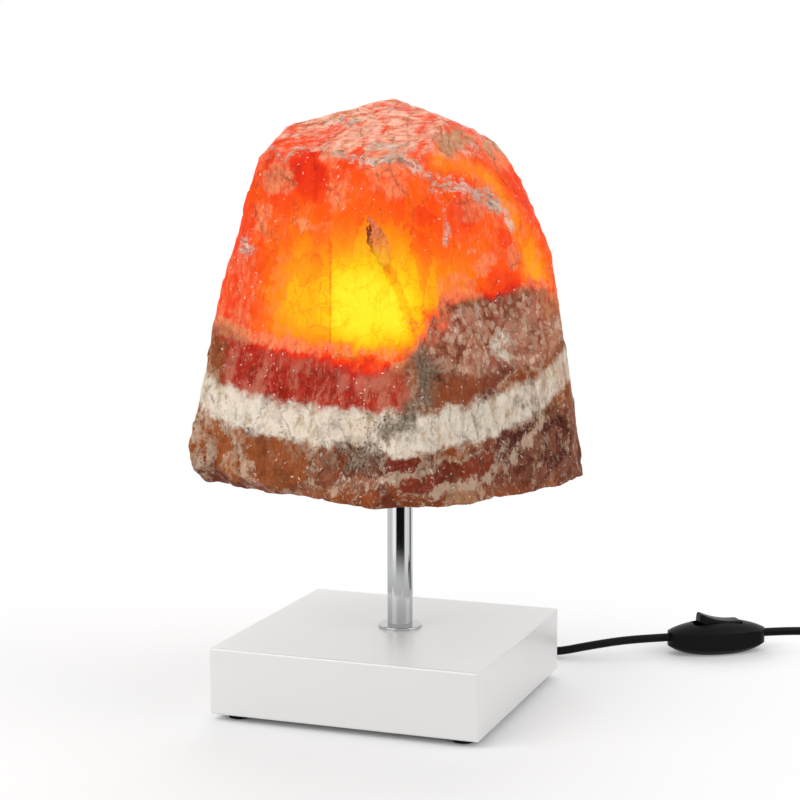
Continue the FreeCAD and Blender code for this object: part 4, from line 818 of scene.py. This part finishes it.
    def rock(self, settings, granular):
        """Colours of the stone without the light."""
        rise, mix, layer = self.rise, self.mix, self.layer
        pick = self.channel(self.cells(self.ragged, 24, output="Color"))
        rock = self.ramp(pick, [
            (0.0, settings.umber), (0.3, srgb(134, 58, 30)), (0.6, settings.ochre), (0.85, srgb(154, 80, 48)),
            (1.0, srgb(176, 122, 84)),
        ])
        u, d, z = self.parts(self.ragged)
        along = u * 0.77 + z * 0.64
        slant = self.add("ShaderNodeCombineXYZ", {0: z * 0.77 - u * 0.64, 1: d * 0.3, 2: along * 0.15})
        purple = mix(rise(self.noise(slant, 5, 3, 0.6), 0.44, 0.58), srgb(86, 30, 23), srgb(136, 80, 58))
        rock = mix(self.spot((78, -34, 147), (32, 60, 22), 0.35), rock, purple)
        inside = rim = None
        for centre, radii, tone in PATCHES:
            patch = self.spot(centre, radii, 0.07)
            halo = self.spot(centre, tuple(reach + 2.2 for reach in radii), 0.1)
            rock = mix(patch * 0.92, rock, srgb(*tone))
            inside = patch if inside is None else inside.at_least(patch)
            rim = halo if rim is None else rim.at_least(halo)
        rock = mix(rise(self.streaks, 0.3, 0.75) * 0.6, rock, mix(0.55, rock, srgb(60, 24, 12)))
        wash = rise(self.dust * 0.6 + self.grit * 0.4, 0.5, 0.62) * (0.8 - 0.5 * inside)
        wash = wash.at_least((rim - inside) * rise(self.dust, 0.42, 0.52) * 0.8)
        for line in CREAM_LINES:
            wash = wash.at_least(rise(self.frayed(self.near_line(line), 26, 8), 3, 0))
        rind = self.spot((-104, -12, 152), (8, 30, 27), 0.3) * rise(self.dust * 0.6 + self.grit * 0.4, 0.44, 0.54)
        rock = mix(wash.at_least(rind) * 0.85, rock, mix(self.mottle, srgb(176, 138, 108), settings.cream))
        red_layer = rise(layer, 5, 12) * rise(layer, 56, 42) * rise(u, 14, 2) * rise(u, -93, -84)
        column = rise(self.drawn(450, 9, 5, 0.68), 0.47, 0.6)
        column = column.at_least(self.spot((-9, -78, 184), (8, 40, 5), 0.4))
        red = mix(rise(self.grit, 0.5, 0.36) * 0.6, settings.crimson, srgb(112, 18, 12))
        red = mix((column * 0.5).at_least(rise(self.fibre, 0.52, 0.64) * 0.5), red, srgb(210, 134, 110))
        rock = mix(red_layer * 0.94, rock, red)
        grain = self.cells(self.crisp, 3.6)
        grains = self.ramp(self.channel(grain.other("Color")), [
            (0.0, srgb(166, 92, 68)), (0.3, srgb(200, 142, 116)), (0.6, srgb(188, 150, 124)),
            (1.0, srgb(226, 188, 166)),
        ])
        gaps = mix(rise(self.mottle, 0.42, 0.58), srgb(144, 66, 42), srgb(182, 122, 96))
        grains = mix(rise(grain, 0.42, 0.72), grains, gaps)
        rock = mix(granular * 0.9, rock, grains)
        fading = rise(u, 52, 84) * rise(self.streaks, 0.4, 0.6)
        band = rise(layer, -12, -7) * rise(layer, 13, 6.5) * (1 - 0.45 * fading)
        band = band.at_least(self.spot((57, -40, 199), (7, 40, 8), 0.3) * rise(self.dust, 0.38, 0.48) * 0.85)
        chalk = mix(rise(self.dust * 0.7 + self.grit * 0.3, 0.36, 0.52), srgb(194, 172, 140), settings.white)
        chalk = mix(rise(self.streaks, 0.56, 0.72) * 0.35, chalk, srgb(190, 156, 126))
        return mix(band * 0.95, rock, chalk), band


def stone_material(settings):
    """The stone: rock, the light that comes through it and the opaque marks over that."""
    finish = StoneFinish("stone")
    rise, spot, mix, frayed, near_line = finish.rise, finish.spot, finish.mix, finish.frayed, finish.near_line
    grit, dust, top, fibre, crisp = finish.grit, finish.dust, finish.top, finish.fibre, finish.crisp
    u, d, z = finish.parts(crisp)
    glow = finish.glow()
    lit = rise(glow, 0.08, 0.34)
    granular = spot((50, -46, 206), (42, 60, 18), 0.2).at_least(spot((72, 10, 205), (30, 60, 26), 0.2))
    rock, band = finish.rock(settings, granular * rise(finish.layer, 12, 18))

    # Opaque marks over the light.
    fuzz = grit * 8 - finish.mottle * 9
    ridge = near_line(RIDGE)
    lines = finish.add("ShaderNodeCombineXYZ", {0: ridge, 1: u * 0.14, 2: z * 0.14})
    strand = finish.noise(lines, 1.3, 2, 0.6)
    thick = near_line(THICK_RIDGE).at_most(near_line(CREST) + 1)
    crust = rise(frayed(ridge, 20, 8), 1.6, -0.4)
    crust = crust.at_least(rise(frayed(thick, 24, 6), 4.6, 0.6) * rise(strand, 0.38, 0.54))
    crust = crust.at_least(rise(near_line(GREY_VEIN) + fuzz, 1.6, -1.0))
    chips = spot((-76, -10, 247), (6, 24, 5)).at_least(spot((-28, -8, 318), (11, 20, 4)))
    crust = crust.at_least(chips * rise(dust, 0.4, 0.52))
    tan = spot((31, -20, 305), (13, 30, 8), 0.2).at_least(spot((62, 2, 300), (15, 26, 9), 0.3)) * 0.65
    smear = rise(frayed(near_line(SMEAR), 22, 6), 9, 2)
    smear = smear.at_least(spot(SPECKLED, (14, 40, 9), 0.4) * rise(dust, 0.36, 0.5))
    smear = smear * 0.85 * rise(z, 206, 194)
    along = (u - LEAF_U) * 0.35 - (z - LEAF_Z) * 0.94
    across = (u - LEAF_U) * 0.94 + (z - LEAF_Z) * 0.35
    blade = across.maths("ABSOLUTE", across, 0.0) * 0.2 + along * along * (1 / 225)
    leaf = rise(blade, 1.06, 0.94) * rise(d, -30, -40) * (0.25 + 0.75 * rise(along, 6, -7))
    leaf_edge = rise(blade + (0.5 - grit) * 0.5, 0.5, 0.85) * rise(across - along * 0.2, 3, 0)
    tail = rise(near_line(LEAF_TAIL), 3.5, 1.5)
    # Proud edges get more frost: bruised crystal that also serves as a painted highlight on the ridges.
    more = (finish.plate.other(1) - 0.5) * (0.14 + 0.2 * top) + granular * 0.04 + finish.edge * 0.15
    more = more + top * 0.2 - 0.06 + finish.dull * (1 - finish.dull) * 1.3
    more = more + rise(finish.layer, 34, 38) * rise(finish.layer, 46, 40) * rise(u, 8, -4) * 0.26
    for centre, radii, amount in FROST:
        more = more + spot(centre, radii, 0.25) * amount
    frost = rise(dust * 0.5 + fibre * 0.5 + more, 0.42, 0.76)
    # Pale beads of bruised crystal, which also stand in for painted glints on the surface.
    bead = finish.cells(crisp, 2.1)
    chance = finish.channel(bead.other("Color")) + finish.mottle * 0.5
    pale_beads_and_glints = rise(bead, 0.3, 0.16) * rise(chance - 0.08 * lit, 1.05, 1.1) * rise(glow, 0.6, 0.46)
    splits = finish.cells(finish.vector("MULTIPLY", crisp, (1, 0.6, 0.6)), 24, "DISTANCE_TO_EDGE")
    cracks = rise(splits, 0.03, 0.0) * rise(dust, 0.45, 0.58) * rise(glow, 0.66, 0.5)
    specks = finish.cells(crisp, 2.2)
    odds = finish.mottle + spot(SPECKLED, (15, 40, 10), 0.5) * 0.32 + band * 0.05
    odds = odds + spot((-6, -84, 165), (9, 40, 6), 0.5) * 0.2
    specks = rise(specks, 0.36, 0.2) * rise(odds, 0.64, 0.72) * rise(z, 196, 186)
    # Painted shade: darker where the fibre runs low and where the surface sinks in; the glow is dimmed there as well.
    painted_hollow_shade = (rise(fibre, 0.46, 0.3) * 0.35 + rise(finish.edge, 0.0, -1.0) * 0.5).at_most(0.7)

    base = mix(lit, rock, mix(glow, srgb(92, 20, 8), srgb(40, 18, 4)))
    pale = mix(top, settings.frost, srgb(246, 206, 180))
    base = mix(frost * (0.12 + 0.6 * lit + 0.2 * top), base, mix(rise(fibre, 0.35, 0.65), srgb(206, 128, 92), pale))
    base = mix(tan, base, mix(fibre, srgb(190, 100, 56), srgb(244, 178, 128)))
    base = mix(smear, base, mix(rise(grit, 0.3, 0.7), srgb(88, 70, 54), srgb(164, 144, 122)))
    base = mix(pale_beads_and_glints * 0.75, base, srgb(250, 230, 212))
    withered = mix(leaf_edge, mix(rise(grit, 0.3, 0.7), srgb(168, 66, 40), srgb(214, 132, 104)), srgb(112, 26, 16))
    base = mix(leaf * 0.9, base, withered)
    weathered = mix(rise(strand * 0.6 + grit * 0.4, 0.38, 0.62), srgb(146, 120, 102), srgb(244, 216, 198))
    base = mix(crust * 0.8, base, weathered)
    base = mix((specks * 0.85).at_least(cracks * 0.45), base, srgb(48, 30, 22))
    base = mix(painted_hollow_shade, base, mix(0.75, base, srgb(40, 14, 8)))
    light = finish.ramp(glow - 0.12 * tail - 0.08 * frost, [
        (0.06, BLACK), (0.2, srgb(132, 16, 8)), (0.32, srgb(228, 38, 8)), (0.44, srgb(246, 72, 8)),
        (0.56, srgb(252, 108, 8)), (0.7, srgb(253, 160, 5)), (0.84, srgb(254, 208, 8)), (0.97, srgb(252, 240, 38)),
    ])
    shade = frost * (0.42 + 0.3 * top) + crust * 0.7 + leaf * (0.7 + 0.25 * leaf_edge) + tan * 0.5
    shade = shade + smear * 0.9 + pale_beads_and_glints * 0.3 + cracks * 0.3 + painted_hollow_shade * 0.15
    light = mix(shade.at_most(1.0), light, BLACK)
    relief = finish.bump(grit, 0.7, MM, finish.facets((14, 0.7), (5, 0.6), (2.4, 0.3)))
    return finish.surface({
        "Base Color": base,
        "Roughness": 0.4 + 0.35 * dust,
        "Specular IOR Level": 0.08,
        "Normal": relief,
        "Emission Color": light,
        "Emission Strength": settings.glow,
    })


class LAMP_OT_stone(bpy.types.Operator):
    """Broken block of aragonite, drilled from below and lit from inside"""

    bl_idname = "lamp.stone"
    bl_label = "Stone"

    def execute(self, context):
        settings = context.scene.lamp_stone
        material = stone_material(settings)
        rough = remeshed_copy("stone", "stone_block", settings.voxel)
        breaks = rough.modifiers.new("breaks", "NODES")
        breaks.node_group = stone_tree()
        values = {name: getattr(settings, name.lower().replace(" ", "_")) for name in (*RELIEF, "Seed")}
        values["Material"] = material
        for item in breaks.node_group.interface.items_tree:
            if item.in_out == "INPUT" and item.name in values:
                breaks[item.identifier] = values[item.name]
        piece = add_piece("stone_skin", skin_mesh(rough, "stone_skin"), material, "stone")
        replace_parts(piece, "stone")
        return {"FINISHED"}


# The studio in metres: the camera's place and axes, the lamps' places and sizes, the floor and the reflected room.
CAMERA_PLACE = (0.35623, -0.96386, 0.29636)
CAMERA_BACK = (0.3393, -0.9322, 0.1257)
CAMERA_RIGHT = (0.9397, 0.3420, 0)
LAMPS = {"key": ((-0.7, -1.0, 1.05), 1.2), "side": ((1.1, 0.1, 0.8), 0.9), "back": ((-0.35, 1.2, 0.8), 1.0)}
LAMPS_AIM = (0, 0, 0.15)
SHADOW_CENTRE = (-0.1, -0.06, 0)
FLOOR_HALF = 8
FLOOR_WHITE, SWITCH_SHADE = (0.17, 0.42), (0.06, 0.025)
ROOM_RADII = (0.25, 1.8)
ROOM_STEPS = 64
ROOM_TURN = math.radians(-70)
# What the chrome sees round it: share of the turn, colour.
ROOM_TONES = (
    (0.0, (206, 206, 206)), (0.28, (204, 204, 204)), (0.32, (255, 255, 255)), (0.385, (255, 255, 255)),
    (0.415, (14, 14, 15)), (0.6, (18, 18, 19)), (0.64, (236, 236, 236)), (0.75, (214, 214, 214)),
    (0.78, (90, 90, 90)), (0.81, (90, 90, 90)), (0.85, (226, 226, 226)),
)


class LAMP_OT_stage(bpy.types.Operator):
    """Pale floor, soft lamps, even light and the camera"""

    bl_idname = "lamp.stage"
    bl_label = "Studio"

    def execute(self, context):
        settings = context.scene.lamp_stage
        self.add_camera(context, settings)
        self.add_floor(settings)
        for name, (spot, size) in LAMPS.items():
            self.add_light(name, getattr(settings, name), spot, size)
        self.add_world(context, settings)
        self.add_ring()
        context.scene.view_settings.view_transform = "Standard"
        return {"FINISHED"}

    def add_camera(self, context, settings):
        data = bpy.data.cameras.new("camera")
        data.sensor_fit = "HORIZONTAL"
        data.sensor_width = 36
        data.lens = settings.lens
        data.clip_end = 50
        camera = new_object("camera", data)
        back = Vector(CAMERA_BACK).normalized()
        right = Vector(CAMERA_RIGHT).normalized()
        up = back.cross(right)
        turn = Matrix((right, up, back)).transposed().to_4x4()
        camera.matrix_world = Matrix.Translation(CAMERA_PLACE) @ turn
        context.scene.camera = camera

    def seen(self, nodes):
        """1 for what the camera, a mirror or a glass sees, 0 for light on its way to a surface."""
        path = nodes.add("ShaderNodeLightPath", output="Is Camera Ray")
        return path.at_least(path.other("Is Glossy Ray")).at_least(path.other("Is Transmission Ray"))

    def add_floor(self, settings):
        finish = Finish("studio floor")
        spot = finish.add("ShaderNodeTexCoord", output="Object")
        away = finish.vector("DISTANCE", spot, SHADOW_CENTRE)
        tone = finish.noise(finish.place(), 90, 2)
        shade = finish.mix(tone, settings.floor, shaded(settings.floor, 0.985))
        paint = finish.add("ShaderNodeBsdfPrincipled", {
            "Base Color": shade, "Roughness": 0.6, "Specular IOR Level": 0.0,
        })
        white = finish.add("ShaderNodeEmission", {"Color": (1, 1, 1, 1), "Strength": 1.0})
        far = finish.rise(away, *FLOOR_WHITE) * self.seen(finish)
        beside = finish.vector("DISTANCE", spot, (SWITCH[0] * MM, SWITCH[1] * MM, 0))
        far = far * (1 - 0.75 * finish.rise(beside, *SWITCH_SHADE))
        both = finish.add("ShaderNodeMixShader", {0: far, 1: paint, 2: white})
        corners = [(x * FLOOR_HALF, y * FLOOR_HALF, 0) for x, y in ((-1, -1), (1, -1), (1, 1), (-1, 1))]
        floor = self.add_sheet("floor", corners, [(0, 1, 2, 3)], finish.shown(both))

    def add_sheet(self, name, spots, faces, material):
        mesh = bpy.data.meshes.new(name)
        mesh.from_pydata(spots, [], faces)
        mesh.materials.append(material)
        return new_object(name, mesh)

    def add_ring(self):
        """Dark and grey parts of the room, seen only in the chrome."""
        finish = Finish("room")
        x, y, _ = finish.parts(finish.place(ROOM_TURN))
        across = x.maths("ARCTAN2", y, x) * (1 / math.pi)
        away = finish.vector("LENGTH", finish.place())
        tone = finish.ramp(across * 0.5 + 0.5, [(place, srgb(*shade)) for place, shade in ROOM_TONES])
        tone = finish.mix(finish.rise(away, 420, 280), tone, srgb(206, 206, 206))
        lit = finish.add("ShaderNodeEmission", {"Color": tone, "Strength": 1.0})
        spots, faces = [], []
        for radius in ROOM_RADII:
            for step in range(ROOM_STEPS):
                turn = 2 * math.pi * step / ROOM_STEPS
                spots.append((radius * math.cos(turn), radius * math.sin(turn), 0.5 * MM))
        for step in range(ROOM_STEPS):
            after = (step + 1) % ROOM_STEPS
            faces.append((step, after, ROOM_STEPS + after, ROOM_STEPS + step))
        room = self.add_sheet("room", spots, faces, finish.shown(lit))
        for ray in ("camera", "diffuse", "transmission", "shadow", "volume_scatter"):
            setattr(room, "visible_" + ray, False)

    def add_light(self, name, energy, spot, size):
        data = bpy.data.lights.new(name, "AREA")
        data.energy = energy
        data.size = size
        light = new_object(name, data)
        aim = Vector(LAMPS_AIM) - Vector(spot)
        light.visible_glossy = name != "back"
        light.matrix_world = Matrix.Translation(spot) @ aim.to_track_quat("-Z", "Y").to_matrix().to_4x4()

    def add_world(self, context, settings):
        world = bpy.data.worlds.new("studio")
        world.use_nodes = True
        nodes = Nodes(world.node_tree)
        nodes.tree.nodes.clear()
        seen = self.seen(nodes)
        sky = nodes.add("ShaderNodeBackground", {
            "Color": (1, 1, 1, 1), "Strength": settings.fill + (1 - settings.fill) * seen,
        })
        nodes.add("ShaderNodeOutputWorld", {"Surface": sky})
        context.scene.world = world


OPERATORS = (
    LAMP_OT_stage, LAMP_OT_switch, LAMP_OT_lead, LAMP_OT_plug, LAMP_OT_base, LAMP_OT_stem, LAMP_OT_holder, LAMP_OT_bulb,
    LAMP_OT_stone,
)
SETTINGS = {
    "lamp_stone": StoneSettings, "lamp_base": BaseSettings, "lamp_metal": MetalSettings, "lamp_lead": LeadSettings,
    "lamp_stage": StageSettings,
}


class LAMP_PT_panel(bpy.types.Panel):
    """Lists the lamp's pieces and their settings"""

    bl_idname = "LAMP_PT_panel"
    bl_label = "Aragonite Lamp"
    bl_space_type = "VIEW_3D"
    bl_region_type = "UI"
    bl_category = "Lamp"

    def draw(self, context):
        for operator in OPERATORS:
            self.layout.operator(operator.bl_idname)
        for name, group in SETTINGS.items():
            box = self.layout.box()
            box.label(text=group.__doc__)
            for prop in group.__annotations__:
                box.prop(getattr(context.scene, name), prop)


CLASSES = (*SETTINGS.values(), *OPERATORS, LAMP_PT_panel)


def register():
    for item in CLASSES:
        bpy.utils.register_class(item)
    for name, group in SETTINGS.items():
        setattr(bpy.types.Scene, name, PointerProperty(type=group))


def unregister():
    for name in SETTINGS:
        delattr(bpy.types.Scene, name)
    for item in reversed(CLASSES):
        bpy.utils.unregister_class(item)


def main():
    register()
    bpy.ops.lamp.stage()
    bpy.ops.lamp.switch()
    bpy.ops.lamp.lead()
    bpy.ops.lamp.plug()
    bpy.ops.lamp.base()
    bpy.ops.lamp.stem()
    bpy.ops.lamp.holder()
    bpy.ops.lamp.bulb()
    bpy.ops.lamp.stone()
    bpy.context.view_layer.update()


if __name__ == "__main__":
    main()
